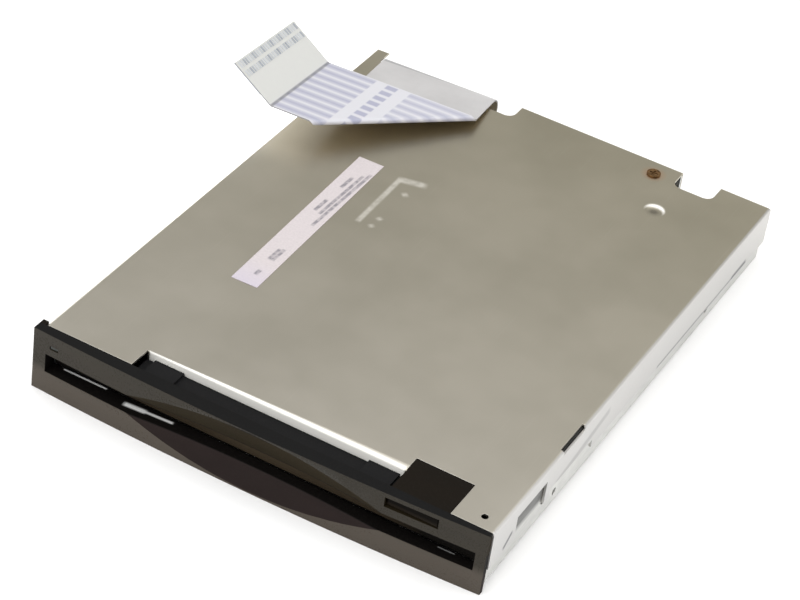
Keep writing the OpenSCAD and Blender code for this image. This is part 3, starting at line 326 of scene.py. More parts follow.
def cover_material(name):
    """Satin plated sheet: slow clouds, faint scratches, a pale rubbed mark and bright bends, with painted
    shade darkening it towards the rear, a painted highlight on the lip, painted shade and a painted highlight
    in the dimple, and a right wall painted lighter with painted shadow lines.
    """
    material, tree, shader = new_material(name, Metallic=1.0)
    place = object_place(tree)
    axes = axes_of(tree, place)
    cloud = noise(tree, place, COVER_CLOUD, 3)
    fine = noise(tree, place, COVER_FINE, 2)
    # Painted shade: the tone darkens and yellows from the front to the rear
    rear_painted_shade = between(tree, axes["Y"], -COVER_END, COVER_END)
    dark, light = [blend(tree, rear_painted_shade, front, rear) for front, rear in zip(COVER_TONES_FRONT_LIT, COVER_TONES_REAR_SHADED)]
    tone = blend(tree, between(tree, cloud, *STEEP), dark, light)
    scratches = noise(tree, stretched(tree, place, COVER_SCRATCHES, SCRATCH_TURN), 1, 1)
    scratch = times(tree, between(tree, scratches, 0.7, 0.75), COVER_SCRATCHED)
    tone = blend(tree, scratch, tone, SCRATCH_TONE)
    mottled = between(tree, noise(tree, place, MARK_MOTTLE, 2), *STEEP, 0.55, 0.95)
    for start, end, half in COVER_MARK:
        tone = blend(tree, times(tree, on_line(tree, place, start, end, half), mottled), tone, MARK_TONE)
    tone = blend(tree, between(tree, from_point(tree, place, SCREW), 3, 1.4, 0, 0.5), tone, SCREW_HALO)
    # Painted shade and a painted highlight in the dimple
    dimple_shade, dimple_highlight = dimple_painted_light(tree, place)
    tone = blend(tree, dimple_shade, tone, DIMPLE_PAINTED_SHADE)
    tone = blend(tree, dimple_highlight, tone, DIMPLE_PAINTED_HIGHLIGHT)
    # Painted light on the right wall
    wall = between(tree, axes["X"], WALL_X, WALL_X + 0.2 * MM)
    tone = blend(tree, times(tree, wall, 0.7), tone, WALL_PAINTED_LIGHT)
    # Painted shade on the right wall
    tone = side_painted_shades(tree, axes, wall, tone, WALL_PAINTED_SHADES, WALL_SHADE_TONE)
    # Painted highlight on the lip of the front notch, rougher and hardly metallic
    lip_highlight = lip_highlight_mask(tree, axes)
    tone = blend(tree, lip_highlight, tone, LIP_PAINTED_HIGHLIGHT)
    tone = worn_edges(tree, tone, EDGE_R, COVER_WORN, COVER_EDGE)
    shine = plus(tree, between(tree, cloud, *SPREAD, 0.3, 0.34), between(tree, fine, *SPREAD, 0, 0.03))
    connect(tree, shader, Base_Color=tone, Roughness=plus(tree, shine, times(tree, lip_highlight, 0.2)),
            Metallic=between(tree, maths(tree, "MAXIMUM", lip_highlight, dimple_highlight), 0, 1, 1, PAINTED_LIGHT_METALLIC))
    bumped(tree, shader, fine, 0.004 * MM, 0.3, EDGE_R)
    return material


# Painted shade on the frame's side wall behind openings of the cover
FRAME_SHADES = (((-42, 6.7), (-52, 6.7), 2.7, 0.8), ((-36, 12), (-23, 12), 1.2, 0.97))
FRAME_SHADE_TONE = (0.03, 0.03, 0.03)
FRAME_WALL = (44 * MM, 45 * MM)


def frame_material(name):
    """The frame's rolled sheet, with painted shade where it stands behind openings of the cover."""
    material = sheet_metal(name, (0.56, 0.56, 0.54), (0.7, 0.7, 0.68), (0.3, 0.46))
    tree, base, tone = base_tone(material)
    axes = axes_of(tree, object_place(tree))
    wall = between(tree, axes["X"], *FRAME_WALL)
    tree.links.new(side_painted_shades(tree, axes, wall, tone, FRAME_SHADES, FRAME_SHADE_TONE), base)
    return material


TURNED_RINGS = (5000, 900, 5000)
TURNED_SPECK = 1500
TURNED_EDGE_R = 0.08 * MM


def turned_metal(name, dark, light, rough=(0.18, 0.34), metallic=1.0):
    """Turned or drawn metal: fine rings across every axis and a few darker specks."""
    material, tree, shader = new_material(name, Metallic=metallic)
    place = object_place(tree)
    rings = noise(tree, stretched(tree, place, TURNED_RINGS), 1, 2)
    speck = noise(tree, place, TURNED_SPECK, 3)
    tone = blend(tree, between(tree, speck, 0.4, 0.7), light, dark)
    connect(tree, shader, Base_Color=tone, Roughness=between(tree, rings, *SPREAD, *rough))
    bumped(tree, shader, rings, 0.008 * MM, 0.5, TURNED_EDGE_R)
    return material


# Plastics
FLOW = (40, 160, 160)
INNER_FLOW = (60, 160, 160)
SPARK = 2600
MOULDED_EDGE_R = 0.2 * MM
RUBBED_R = 0.25 * MM


def moulded(name, dark, light, rough=(0.38, 0.55), worn=0.25, **values):
    """Moulded plastic: spark texture, faint flow marks, and edges rubbed a little lighter."""
    material, tree, shader = new_material(name, **values)
    place = object_place(tree)
    flow = noise(tree, stretched(tree, place, FLOW), 1, 3)
    grain = noise(tree, place, SPARK, 3)
    tone = blend(tree, between(tree, flow, *SPREAD), dark, light)
    tone = blend(tree, between(tree, grain, *PEAKS, 0, 0.35), tone, light)
    rubbed_and_lit = [min(1, channel * 2.2 + 0.02) for channel in light]
    tone = worn_edges(tree, tone, RUBBED_R, worn, rubbed_and_lit)
    shine = between(tree, plus(tree, flow, grain), 0.7, 1.3, *rough)
    connect(tree, shader, Base_Color=tone, Roughness=shine)
    bumped(tree, shader, grain, 0.02 * MM, 0.6, MOULDED_EDGE_R)
    return material


FACE_LOW = 5 * MM
FACE_TONES = ((0.021, 0.0175, 0.0118), (0.0295, 0.0245, 0.0172))
# Painted light on the face below the slot
FACE_LOW_PAINTED_LIGHT = (0.093, 0.077, 0.062)
FACE_GRAIN = (0.03, 0.027, 0.022)


def bezel_outer(name):
    """The bezel's bowed face: satin plastic, painted a little lighter below the slot, a painted reflection.
    """
    material, tree, shader = new_material(name, Specular_IOR_Level=0.18)
    place = object_place(tree)
    height = axes_of(tree, place)["Z"]
    flow = noise(tree, stretched(tree, place, FLOW), 1, 3)
    grain = noise(tree, place, SPARK, 3)
    tone = blend(tree, between(tree, flow, *SPREAD), *FACE_TONES)
    # Painted light below FACE_LOW
    tone = blend(tree, between(tree, height, FACE_LOW, FACE_LOW - 2 * MM, 0, 0.6), tone, FACE_LOW_PAINTED_LIGHT)
    tone = blend(tree, between(tree, grain, *PEAKS, 0, 0.2), tone, FACE_GRAIN)
    shine = between(tree, plus(tree, flow, grain), 0.7, 1.3, 0.24, 0.36)
    connect(tree, shader, Base_Color=tone, Roughness=shine)
    bumped(tree, shader, grain, 0.015 * MM, 0.5)
    return material


# Places and tones of the bezel's scoop, shelf, roof and slot, and of the door in the slot; the scoop, slot
# and door tones and the glints are painted light and shade
STEP = 0.1 * MM
LEDGE_Y = -63.2 * MM
ROOF_LOW = 12.3 * MM
SLOT_FLOOR = 3.6 * MM
SLOT_MIDDLE = 5.7 * MM
SLOT_HALF = 2.2 * MM
DOOR_Y = -62 * MM
# The door is painted lit within this span of its middle and shaded beyond it
DOOR_LIT_SPAN = (34 * MM, 26 * MM)
SHELF_TONE = (0.0115, 0.0115, 0.0122)
ROOF_TONE = (0.0085, 0.0062, 0.004)
# Painted shade on the scoop below the slot's middle and a brown painted reflection above it
SCOOP_LOW_PAINTED_SHADE = (0.0215, 0.0148, 0.0138)
SCOOP_HIGH_PAINTED_REFLECTION = (0.021, 0.0155, 0.0075)
SCOOP_TOP = (0.008, 0.008, 0.0082)
# Painted shade that makes the slot near black in front of the door
SLOT_PAINTED_SHADE = (0.006, 0.005, 0.0045)
# Painted shade at the door's ends and painted light on its middle
DOOR_ENDS_PAINTED_SHADE = (0.008, 0.007, 0.006)
DOOR_MIDDLE_PAINTED_LIGHT = (0.055, 0.041, 0.026)
INNER_DARK = (0.004, 0.004, 0.004)
INNER_GRAIN = (0.03, 0.027, 0.024)
# Painted highlights on the slot's floor: start, end, half width and strength, in millimetres
SLOT_GLINTS = (((-43.7, -62.5), (-34.3, -62.45), 0.3, 0.9), ((-28.8, -63.9), (-25, -63.6), 0.75, 1.0),
               ((-26.5, -63.7), (-19, -63.2), 0.45, 0.9), ((37.7, -62.7), (40.9, -62.6), 0.2, 0.25))
GLINT_TONE = (0.95, 0.95, 0.94)


def bezel_inner(name):
    """The bezel's scoop, edges, shelf and roof: matt plastic, browner on the roof, with a painted reflection
    above the slot's middle and painted shade below it, painted shade in the slot, a door painted lit in the
    middle and painted glints.
    """
    material, tree, shader = new_material(name, Specular_IOR_Level=0.05)
    place = object_place(tree)
    axes = axes_of(tree, place)
    depth, height = axes["Y"], axes["Z"]
    flow = noise(tree, stretched(tree, place, INNER_FLOW), 1, 3)
    grain = noise(tree, place, SPARK, 3)
    ledge = blend(tree, between(tree, height, ROOF_LOW, ROOF_LOW + STEP), SHELF_TONE, ROOF_TONE)
    # Painted shade below the slot's middle, painted reflection above
    scoop = blend(tree, between(tree, height, SLOT_MIDDLE, SLOT_MIDDLE + STEP), SCOOP_LOW_PAINTED_SHADE, SCOOP_HIGH_PAINTED_REFLECTION)
    scoop = blend(tree, between(tree, height, ROOF_LOW - STEP, ROOF_LOW), scoop, SCOOP_TOP)
    tone = blend(tree, between(tree, depth, LEDGE_Y, LEDGE_Y + 2 * STEP), scoop, ledge)
    slot = between(tree, away(tree, height, SLOT_MIDDLE), SLOT_HALF + STEP, SLOT_HALF)
    # Painted light on the door's middle and painted shade at its ends
    rubbed_and_lit = between(tree, maths(tree, "ABSOLUTE", axes["X"]), *DOOR_LIT_SPAN)
    door = blend(tree, rubbed_and_lit, DOOR_ENDS_PAINTED_SHADE, DOOR_MIDDLE_PAINTED_LIGHT)
    inside = blend(tree, between(tree, depth, DOOR_Y, DOOR_Y + STEP), SLOT_PAINTED_SHADE, door)
    tone = blend(tree, slot, tone, inside)
    tone = blend(tree, between(tree, flow, *SPREAD, 0, 0.25), tone, INNER_DARK)
    tone = blend(tree, between(tree, grain, *PEAKS, 0, 0.2), tone, INNER_GRAIN)
    # Painted highlights on the slot's floor
    on_floor = between(tree, away(tree, height, SLOT_FLOOR), 0.3 * MM, 0.2 * MM)
    for start, end, half, strength in SLOT_GLINTS:
        bright = times(tree, on_line(tree, place, start, end, half), on_floor)
        tone = blend(tree, times(tree, bright, strength), tone, GLINT_TONE)
    connect(tree, shader, Base_Color=tone, Roughness=between(tree, grain, *SPREAD, 0.5, 0.65))
    bumped(tree, shader, grain, 0.02 * MM, 0.5)
    return material


BUTTON_DARK = 10.1 * MM
BUTTON_SHADE = (0.002, 0.0016, 0.0012)


def button_material(name):
    """The eject button's plastic, darker towards the top where the bezel's roof shades it."""
    material = moulded(name, (0.012, 0.009, 0.0062), (0.017, 0.0132, 0.0098), (0.4, 0.55), worn=0.05,
                       Specular_IOR_Level=0.03)
    tree, base, tone = base_tone(material)
    height = axes_of(tree, object_place(tree))["Z"]
    shade = between(tree, height, BUTTON_DARK, BUTTON_DARK + 0.6 * MM, 0, 0.85)
    tree.links.new(blend(tree, shade, tone, BUTTON_SHADE), base)
    return material


# Board and label
BOARD_TRACKS = (500, 500, 500)
TRACK_TURN = 0.785
BOARD_WEAVE = (2400, 2400, 2400)
BOARD_DARK = (0.01, 0.07, 0.03)


def board_material(name):
    """Green board: solder resist over faint copper tracks, with the weave showing a little."""
    material, tree, shader = new_material(name, Coat_Weight=0.3, Coat_Roughness=0.2)
    place = object_place(tree)
    tracks = add(tree, "TexBrick", {"Vector": stretched(tree, place, BOARD_TRACKS, TRACK_TURN), "Scale": 1.0,
                                    "Mortar Size": 0.12, "Color1": (0.02, 0.11, 0.05, 1),
                                    "Color2": (0.022, 0.125, 0.06, 1), "Mortar": (0.05, 0.2, 0.09, 1)})
    weave = noise(tree, stretched(tree, place, BOARD_WEAVE), 1, 1)
    tone = blend(tree, between(tree, weave, 0.4, 0.7, 0, 0.3), tracks.outputs["Color"], BOARD_DARK)
    connect(tree, shader, Base_Color=tone, Roughness=between(tree, weave, *SPREAD, 0.3, 0.42))
    bumped(tree, shader, tracks.outputs["Fac"], 0.03 * MM, 0.5, EDGE_R)
    return material


# The label's bars: middle across, half the width, and both ends along, in millimetres
LABEL_CENTRE = Vector((-26.2, -2.7, 0)) * MM
LABEL_TURN = math.radians(1.2)
LABEL_BARS = ((1.35, 0.35, -1.4, 21.5), (0.35, 0.35, 3, 20), (-1.1, 0.4, 13.8, 18.2), (-1.05, 0.4, 3.5, 8),
              (1.5, 0.4, -16.5, -12), (0.7, 0.35, -16.5, -12.5), (1.4, 0.45, -22.4, -20.8))
LABEL_FIBRE = 2.2
LABEL_MOTTLE = (1.2, 0.9, 1)
LABEL_TONES = ((0.53, 0.485, 0.495), (0.58, 0.53, 0.54))
LABEL_END = (-18, -26)
LABEL_END_TONE = (0.5, 0.46, 0.58)
INK_SHARE = 0.75
INK_TONE = (0.13, 0.125, 0.15)


def label_material(name):
    """Pale paper label with plain grey bars in two groups, like print seen from a step away."""
    material, tree, shader = new_material(name)
    centred = add(tree, "VectorMath", {0: object_place(tree), 1: LABEL_CENTRE}, operation="SUBTRACT")
    local = stretched(tree, centred.outputs[0], PER_MM, LABEL_TURN)
    axes = axes_of(tree, local)
    fibre = noise(tree, local, LABEL_FIBRE, 4)
    tone = blend(tree, between(tree, fibre, *STEEP), *LABEL_TONES)
    tone = blend(tree, between(tree, axes["Y"], *LABEL_END, 0, 0.5), tone, LABEL_END_TONE)
    mottled = between(tree, noise(tree, stretched(tree, local, LABEL_MOTTLE), 1, 1), 0.35, 0.6, 0.45, 1)
    for middle, half, low, high in LABEL_BARS:
        reach = (high - low) / 2
        along = away(tree, axes["Y"], (low + high) / 2)
        aside = away(tree, axes["X"], middle)
        bar = times(tree, between(tree, along, reach + 0.3, reach - 0.2),
                    between(tree, aside, half + 0.12, half - 0.12))
        tone = blend(tree, times(tree, times(tree, bar, mottled), INK_SHARE), tone, INK_TONE)
    connect(tree, shader, Base_Color=tone, Roughness=between(tree, fibre, *SPREAD, 0.45, 0.6))
    bumped(tree, shader, fibre, 0.02 * MM, 0.4)
    return material


# Flat cable, with the sizes of the construction
CABLE_W = 27 * MM
CABLE_T = 0.3 * MM
CABLE_LEN = 80 * MM
CABLE_START = Vector((-31.2, 52, 4)) * MM
CABLE_LEAD = 6.3 * MM
CABLE_SKEW = math.radians(-3)
CABLE_RISE = math.radians(6.5)
CABLE_BEND_R = 4.65 * MM
FOLD_AT = 44.4 * MM
FOLD_ANGLE = math.radians(43.5)
FOLD_R = 0.5 * MM
CREASE_AT = 68 * MM
CREASE_R = 1 * MM
CREASE_TURN = math.radians(34)
CONDUCTORS = 26


def bend(point, at, angle, radius, turn, side):
    """Rolls the part of a strip past a slanted line round a cylinder, up for side 1 and down for -1."""
    along, across, up = point
    ahead = (along - at) * math.cos(angle) + across * math.sin(angle)
    aside = across * math.cos(angle) - (along - at) * math.sin(angle)
    phi = min(max(ahead / radius, 0), turn)
    rest = ahead - radius * phi
    arm = radius - side * up
    reach = arm * math.sin(phi) + rest * math.cos(phi)
    lift = radius - arm * math.cos(phi) + rest * math.sin(phi)
    return (at + reach * math.cos(angle) - aside * math.sin(angle),
            reach * math.sin(angle) + aside * math.cos(angle), side * lift)


def cable_point(along, across, up):
    """Where a point of the flat strip lies once its crease, its fold and its rear bend are made."""
    creased = bend((along, across, up), CREASE_AT, 0, CREASE_R, CREASE_TURN, 1)
    folded = bend(creased, FOLD_AT, FOLD_ANGLE, FOLD_R, math.pi, -1)
    bent = bend(folded, CABLE_LEAD, CABLE_SKEW, CABLE_BEND_R, math.pi - CABLE_RISE, 1)
    return CABLE_START + Vector((bent[1], bent[0], bent[2]))


def cable_rows():
    """Pairs of a place along the strip and its slant, closer together round each bend."""
    rear = CABLE_BEND_R * (math.pi - CABLE_RISE) / math.cos(CABLE_SKEW)
    fold = FOLD_R * math.pi / math.cos(FOLD_ANGLE)
    crease = CREASE_R * CREASE_TURN
    stops = [(0, 0, 0, 0),
             (CABLE_LEAD, rear, math.tan(CABLE_SKEW), 40),
             (FOLD_AT, fold, math.tan(FOLD_ANGLE), 18),
             (CREASE_AT, crease, 0, 10),
             (CABLE_LEN, 0, 0, 0)]
    return [(start + length * step / max(steps, 1), slant)
            for start, length, slant, steps in stops for step in range(steps + 1)]


CABLE_COLUMNS = 18
CABLE_SHARP = math.radians(35)
BACK, FRONT, CUT = range(3)


def make_cable():
    """The strip as one closed mesh, with its length and width as a UV map and a material on each side."""
    bm = bmesh.new()
    uv = bm.loops.layers.uv.new("strip")
    rows = cable_rows()
    spread = [CABLE_W * (column / CABLE_COLUMNS - 0.5) for column in range(CABLE_COLUMNS + 1)]
    flat = {}
    sides = []
    for up in (CABLE_T / 2, -CABLE_T / 2):
        grid = []
        for along, slant in rows:
            line = []
            for across in spread:
                place = along - slant * across
                vert = bm.verts.new(cable_point(place, across, up))
                flat[vert] = (across / CABLE_W + 0.5, place / CABLE_LEN)
                line.append(vert)
            grid.append(line)
        sides.append(grid)
    top, under = sides

    def face(corners, index, flip=False):
        made = bm.faces.new(corners[::-1] if flip else corners)
        made.material_index = index
        made.smooth = True
        for loop in made.loops:
            loop[uv].uv = flat[loop.vert]

    last = len(rows) - 1
    for row in range(last):
        after = row + 1
        for column in range(CABLE_COLUMNS):
            beside = column + 1
            face([top[row][column], top[row][beside], top[after][beside], top[after][column]], FRONT)
            face([under[row][column], under[after][column], under[after][beside], under[row][beside]], BACK)
        for column, flip in ((0, False), (CABLE_COLUMNS, True)):
            face([top[row][column], top[after][column], under[after][column], under[row][column]], CUT, flip)
    for row, flip in ((0, True), (last, False)):
        for column in range(CABLE_COLUMNS):
            beside = column + 1
            face([top[row][column], top[row][beside], under[row][beside], under[row][column]], CUT, flip)
    bmesh.ops.recalc_face_normals(bm, faces=bm.faces)
    mesh = bpy.data.meshes.new("ribbon")
    bm.to_mesh(mesh)
    bm.free()
    for material in (cable_back("cable_back"), cable_front("cable_front"), cable_edge("cable_edge")):
        mesh.materials.append(material)
    ribbon = bpy.data.objects.new("ribbon", mesh)
    bpy.context.scene.collection.objects.link(ribbon)
    mesh.set_sharp_from_angle(angle=CABLE_SHARP)
    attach(ribbon, BODY_OF["flat_cable"])
    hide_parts("flat_cable")


# Bands along the strip, in millimetres from its start, and the films' tones
# Painted shade round the rear bend
REAR_SHADE = (16, 19.6)
FIRST_WIRES = (24, 48)
# From here the backing, which faces down, is painted white so that its reflection in the cover is bright
PAINTED_LIGHT_START = (46, 50)
DASHES = (50.9, 53.5)
LAST_WIRES = (56.2, 68.3)
# Painted shade along the crease
CREASE_SHADE = (67.7, 68.5)
FLAP_START = (68, 69)
BAND_FADE = 0.15
FILM_RIPPLE = 130
FILM_SPECK = 900
FILM_HAZE = (0.55, 0.54, 0.55)
BACK_CLOUD = 90
CUT_CLOUD = 700
BACK_TONES = ((0.45, 0.443, 0.446), (0.5, 0.493, 0.496))
BACK_PAINTED_LIGHT = (0.9, 0.87, 0.84)
BACK_SHADE = (0.24, 0.24, 0.25)
FRONT_TONE = (0.6, 0.6, 0.64)
FLAP_TONE = (0.6, 0.605, 0.585)
WIRE_TONE = (0.2, 0.21, 0.36)
# Painted tan on the film that faces down before the fold, a painted reflection tint for the cover below
TAN_PAINTED_REFLECTION = (0.88, 0.76, 0.58)
CREASE_PAINTED_SHADE = (0.14, 0.14, 0.15)
CUT_TONES = ((0.22, 0.22, 0.23), (0.32, 0.32, 0.33))
GROUP_SHARE, WIRE_SHARE = 0.46, 0.12
FIRST_SHARE, DASH_SHARE = 0.85, 0.62


def strip_axes(tree):
    """Across and along the strip, in millimetres."""
    axes = axes_of(tree, add(tree, "UVMap", uv_map="strip").outputs["UV"])
    return times(tree, axes["X"], CABLE_W / MM), times(tree, axes["Y"], CABLE_LEN / MM)


def band(tree, along, low, high):
    """1 between two places along the strip, with soft ends."""
    return times(tree, between(tree, along, low - BAND_FADE, low + BAND_FADE),
                 between(tree, along, high - BAND_FADE, high + BAND_FADE, 1, 0))


def film(tree, shader, tone):
    """Finishes a film: faint creases and a soft uneven gloss."""
    place = object_place(tree)
    ripple = noise(tree, place, FILM_RIPPLE, 3)
    haze = between(tree, noise(tree, place, FILM_SPECK, 3), 0.4, 0.7, 0, 0.12)
    connect(tree, shader, Base_Color=blend(tree, haze, tone, FILM_HAZE),
            Roughness=between(tree, ripple, *SPREAD, 0.28, 0.42))
    bumped(tree, shader, ripple, 0.15 * MM, 0.35)


def cable_back(name):
    """Plain backing film, with painted shade round the rear bend and painted white after the fold, where it
    faces down, to brighten its reflection in the cover.
    """
    material, tree, shader = new_material(name, Specular_IOR_Level=0.4)
    cloud = noise(tree, object_place(tree), BACK_CLOUD, 3)
    along = strip_axes(tree)[1]
    tone = blend(tree, between(tree, cloud, *STEEP), *BACK_TONES)
    # Painted light: white where the backing faces down after the fold
    tone = blend(tree, between(tree, along, *PAINTED_LIGHT_START), tone, BACK_PAINTED_LIGHT)
    film(tree, shader, blend(tree, times(tree, band(tree, along, *REAR_SHADE), 0.75), tone, BACK_SHADE))
    return material


def cable_front(name):
    """Film painted tan before the fold, where it faces down, to tint its reflection in the cover; after it
    conductors under clear film, bare bands, dashes and a plain flap, with painted shade along the crease.
    """
    material, tree, shader = new_material(name, Specular_IOR_Level=0.45)
    across, along = strip_axes(tree)
    pitch = CABLE_W / MM / (CONDUCTORS + 1)
    in_pitch = maths(tree, "PINGPONG", across, pitch / 2)
    in_group = maths(tree, "PINGPONG", across, pitch * 1.5)
    stripes = plus(tree, times(tree, between(tree, in_group, 0.35, 1.0), GROUP_SHARE),
                   times(tree, between(tree, in_pitch, 0.2, 0.3), WIRE_SHARE))
    first = times(tree, band(tree, along, *FIRST_WIRES), FIRST_SHARE)
    covered = plus(tree, band(tree, along, *LAST_WIRES), first)
    dashes = times(tree, between(tree, in_group, 0.35, 0.8), band(tree, along, *DASHES))
    wires = plus(tree, times(tree, stripes, covered), times(tree, dashes, DASH_SHARE))
    tone = blend(tree, between(tree, along, *FLAP_START), FRONT_TONE, FLAP_TONE)
    tone = blend(tree, wires, tone, WIRE_TONE)
    lengthwise = times(tree, maths(tree, "SUBTRACT", along, FOLD_AT / MM), math.cos(FOLD_ANGLE))
    sideways = times(tree, maths(tree, "SUBTRACT", across, CABLE_W / MM / 2), math.sin(FOLD_ANGLE))
    # Painted reflection tint before the fold
    before = between(tree, plus(tree, lengthwise, sideways), 0, -1)
    tone = blend(tree, before, tone, TAN_PAINTED_REFLECTION)
    # Painted shade along the crease
    film(tree, shader, blend(tree, times(tree, band(tree, along, *CREASE_SHADE), 0.7), tone, CREASE_PAINTED_SHADE))
    return material


def cable_edge(name):
    """Cut edge of the film, which shows grey."""
    material, tree, shader = new_material(name)
    film(tree, shader, blend(tree, noise(tree, object_place(tree), CUT_CLOUD, 2), *CUT_TONES))
    return material


CONTACT_GROUPS = 7
CONTACT_BRIGHT = (0.58, 0.6, 0.63)


def contact_material(name):
    """Pale tinned contacts, which show as groups across the cable's end."""
    material = turned_metal(name, (0.32, 0.35, 0.4), (0.4, 0.43, 0.48), (0.3, 0.45), 0.3)
    tree, base, tone = base_tone(material)
    left, right = [cable_point(CABLE_LEN, side * CABLE_W / 2, 0) for side in (-1, 1)]
    across = (right - left).normalized()
    reach = add(tree, "VectorMath", {0: object_place(tree), 1: across}, operation="DOT_PRODUCT")
    half_group = CABLE_W / CONTACT_GROUPS / 2
    wave = maths(tree, "PINGPONG", reach.outputs["Value"], half_group)
    bright = between(tree, wave, half_group * 0.25, half_group * 0.6)
    tree.links.new(blend(tree, bright, tone, CONTACT_BRIGHT), base)
    return material


STIFFENER_CLOUD = 200
STIFFENER_TONES = ((0.5, 0.54, 0.6), (0.57, 0.6, 0.65))


def stiffener_material(name):
    """Blue-white stiffening film at the cable's end."""
    material, tree, shader = new_material(name, Specular_IOR_Level=0.4)
    cloud = noise(tree, object_place(tree), STIFFENER_CLOUD, 3)
    film(tree, shader, blend(tree, between(tree, cloud, *SPREAD), *STIFFENER_TONES))
    return material


def make_materials():
    """One material for each slot of the record."""
    return {
        "frame_steel": frame_material("frame_steel"),
        "cover_steel": cover_material("cover_steel"),
        "sheet_steel": sheet_metal("sheet_steel", (0.5, 0.5, 0.49), (0.66, 0.66, 0.64), (0.28, 0.44)),
        "core_steel": sheet_metal("core_steel", (0.24, 0.24, 0.25), (0.36, 0.36, 0.36), (0.4, 0.55)),
        "spring_steel": turned_metal("spring_steel", (0.35, 0.35, 0.35), (0.62, 0.62, 0.61)),
        "pin_steel": turned_metal("pin_steel", (0.5, 0.5, 0.5), (0.76, 0.76, 0.75)),
        "screw_metal": turned_metal("screw_metal", (0.09, 0.05, 0.02), (0.2, 0.115, 0.05), (0.4, 0.6)),
        "copper_wire": turned_metal("copper_wire", (0.4, 0.14, 0.06), (0.72, 0.32, 0.16)),
        "bearing_bronze": turned_metal("bearing_bronze", (0.35, 0.22, 0.08), (0.6, 0.42, 0.18)),
        "contact_metal": contact_material("contact_metal"),
        "bezel_plastic": bezel_inner("bezel_plastic"),
        "button_plastic": button_material("button_plastic"),
        "black_plastic": moulded("black_plastic", (0.012, 0.012, 0.013), (0.026, 0.026, 0.028)),
        "carriage_plastic": moulded("carriage_plastic", (0.06, 0.06, 0.065), (0.1, 0.1, 0.105)),
        "socket_plastic": moulded("socket_plastic", (0.5, 0.47, 0.4), (0.62, 0.58, 0.5)),
        "acetal": moulded("acetal", (0.66, 0.65, 0.6), (0.78, 0.77, 0.72)),
        "ferrite": moulded("ferrite", (0.03, 0.03, 0.032), (0.06, 0.06, 0.062), (0.5, 0.7)),
        "head_ceramic": moulded("head_ceramic", (0.1, 0.08, 0.07), (0.2, 0.16, 0.14), (0.15, 0.25)),
        "light_pipe": moulded("light_pipe", (0.008, 0.011, 0.008), (0.014, 0.018, 0.014), (0.2, 0.3)),
        "board_laminate": board_material("board_laminate"),
        "label_paper": label_material("label_paper"),
        "cable_film": cable_edge("cable_film"),
        "stiffener_film": stiffener_material("stiffener_film"),
    }


# Rounded copies of the nodes that show
WELD = 1e-6
NEAR = 0.01 * MM
FLAT_ANGLE = math.radians(0.5)
SHARP_ANGLE = math.radians(30)
CREASE_ANGLE = math.radians(50)
BEND_SEGMENTS = 6


def on_plane(edge, axis, value):
    """True when both ends of an edge have this value on this axis."""
    return all(abs(vert.co[axis] - value) < NEAR for vert in edge.verts)


def round_edges(bm, edges, width, segments, clamp=True):
    bmesh.ops.bevel(bm, geom=edges, offset=width, segments=segments, profile=0.5, affect="EDGES",
                    clamp_overlap=clamp)


def soften(node, width, segments=2, bends=()):
    """A copy of a node with its bends rounded first and then every sharp edge, which stands for it."""
    mesh = NODES[node].data.copy()
    mesh.name = node + "_round"
    bm = bmesh.new()
    bm.from_mesh(mesh)
    bmesh.ops.remove_doubles(bm, verts=bm.verts, dist=WELD)
    bmesh.ops.dissolve_limit(bm, angle_limit=FLAT_ANGLE, verts=bm.verts, edges=bm.edges)
    for is_bend, radius in bends:
        round_edges(bm, [edge for edge in bm.edges if is_bend(edge)], radius, BEND_SEGMENTS, False)
    sharp = [edge for edge in bm.edges if edge.calc_face_angle(0) > SHARP_ANGLE]
    round_edges(bm, sharp, width, segments)
    for face in bm.faces:
        face.smooth = True
    bm.to_mesh(mesh)
    bm.free()
    mesh.set_sharp_from_angle(angle=CREASE_ANGLE)
    piece = bpy.data.objects.new(node + "_round", mesh)
    bpy.context.scene.collection.objects.link(piece)
    piece.modifiers.new("flat_faces", "WEIGHTED_NORMAL").keep_sharp = True
    piece.material_slots[0].material = materials[SLOT_OF[node]]
    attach(piece, BODY_OF[node])
    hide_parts(node)
    return piece


BOW_X = -7.8 * MM
BOW_FRONT = -66.2 * MM
BOW_R = 784.8 * MM
BOW_NEAR = 0.05 * MM


def finish_face(piece, material):
    """Gives a second material to the faces that lie on the bezel's bow."""
    piece.data.materials.append(material)
    for face in piece.data.polygons:
        corners = [piece.data.vertices[index].co for index in face.vertices]
        off_bow = [math.hypot(co.x - BOW_X, co.y - BOW_FRONT - BOW_R) - BOW_R for co in corners]
        if max(abs(value) for value in off_bow) < BOW_NEAR:
            face.material_index = 1


COVER_BEND_R = 0.7 * MM
LIP_BEND_R = 1.5 * MM
COVER_LOW, COVER_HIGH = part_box("top_cover")
LIP_Y = -57.5 * MM


def cover_bend(edge):
    """True for the cover's bent edges at both sides and at the rear."""
    folds = ((0, COVER_LOW.x), (0, COVER_HIGH.x), (1, COVER_HIGH.y))
    return on_plane(edge, 2, COVER_HIGH.z) and any(on_plane(edge, axis, value) for axis, value in folds)


def lip_bend(edge):
    """True for the edge that bends down into the lip of the cover's front notch."""
    return on_plane(edge, 2, COVER_HIGH.z) and on_plane(edge, 1, LIP_Y)


def make_springs():
    """A fixed copy of the eject springs, between the frame's hooks and the slider's lugs."""
    springs = bpy.data.objects.new("springs", NODES["eject_springs"].data.copy())
    bpy.context.scene.collection.objects.link(springs)
    springs.material_slots[0].material = materials[SLOT_OF["eject_springs"]]
    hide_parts("eject_springs")
    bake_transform(springs)


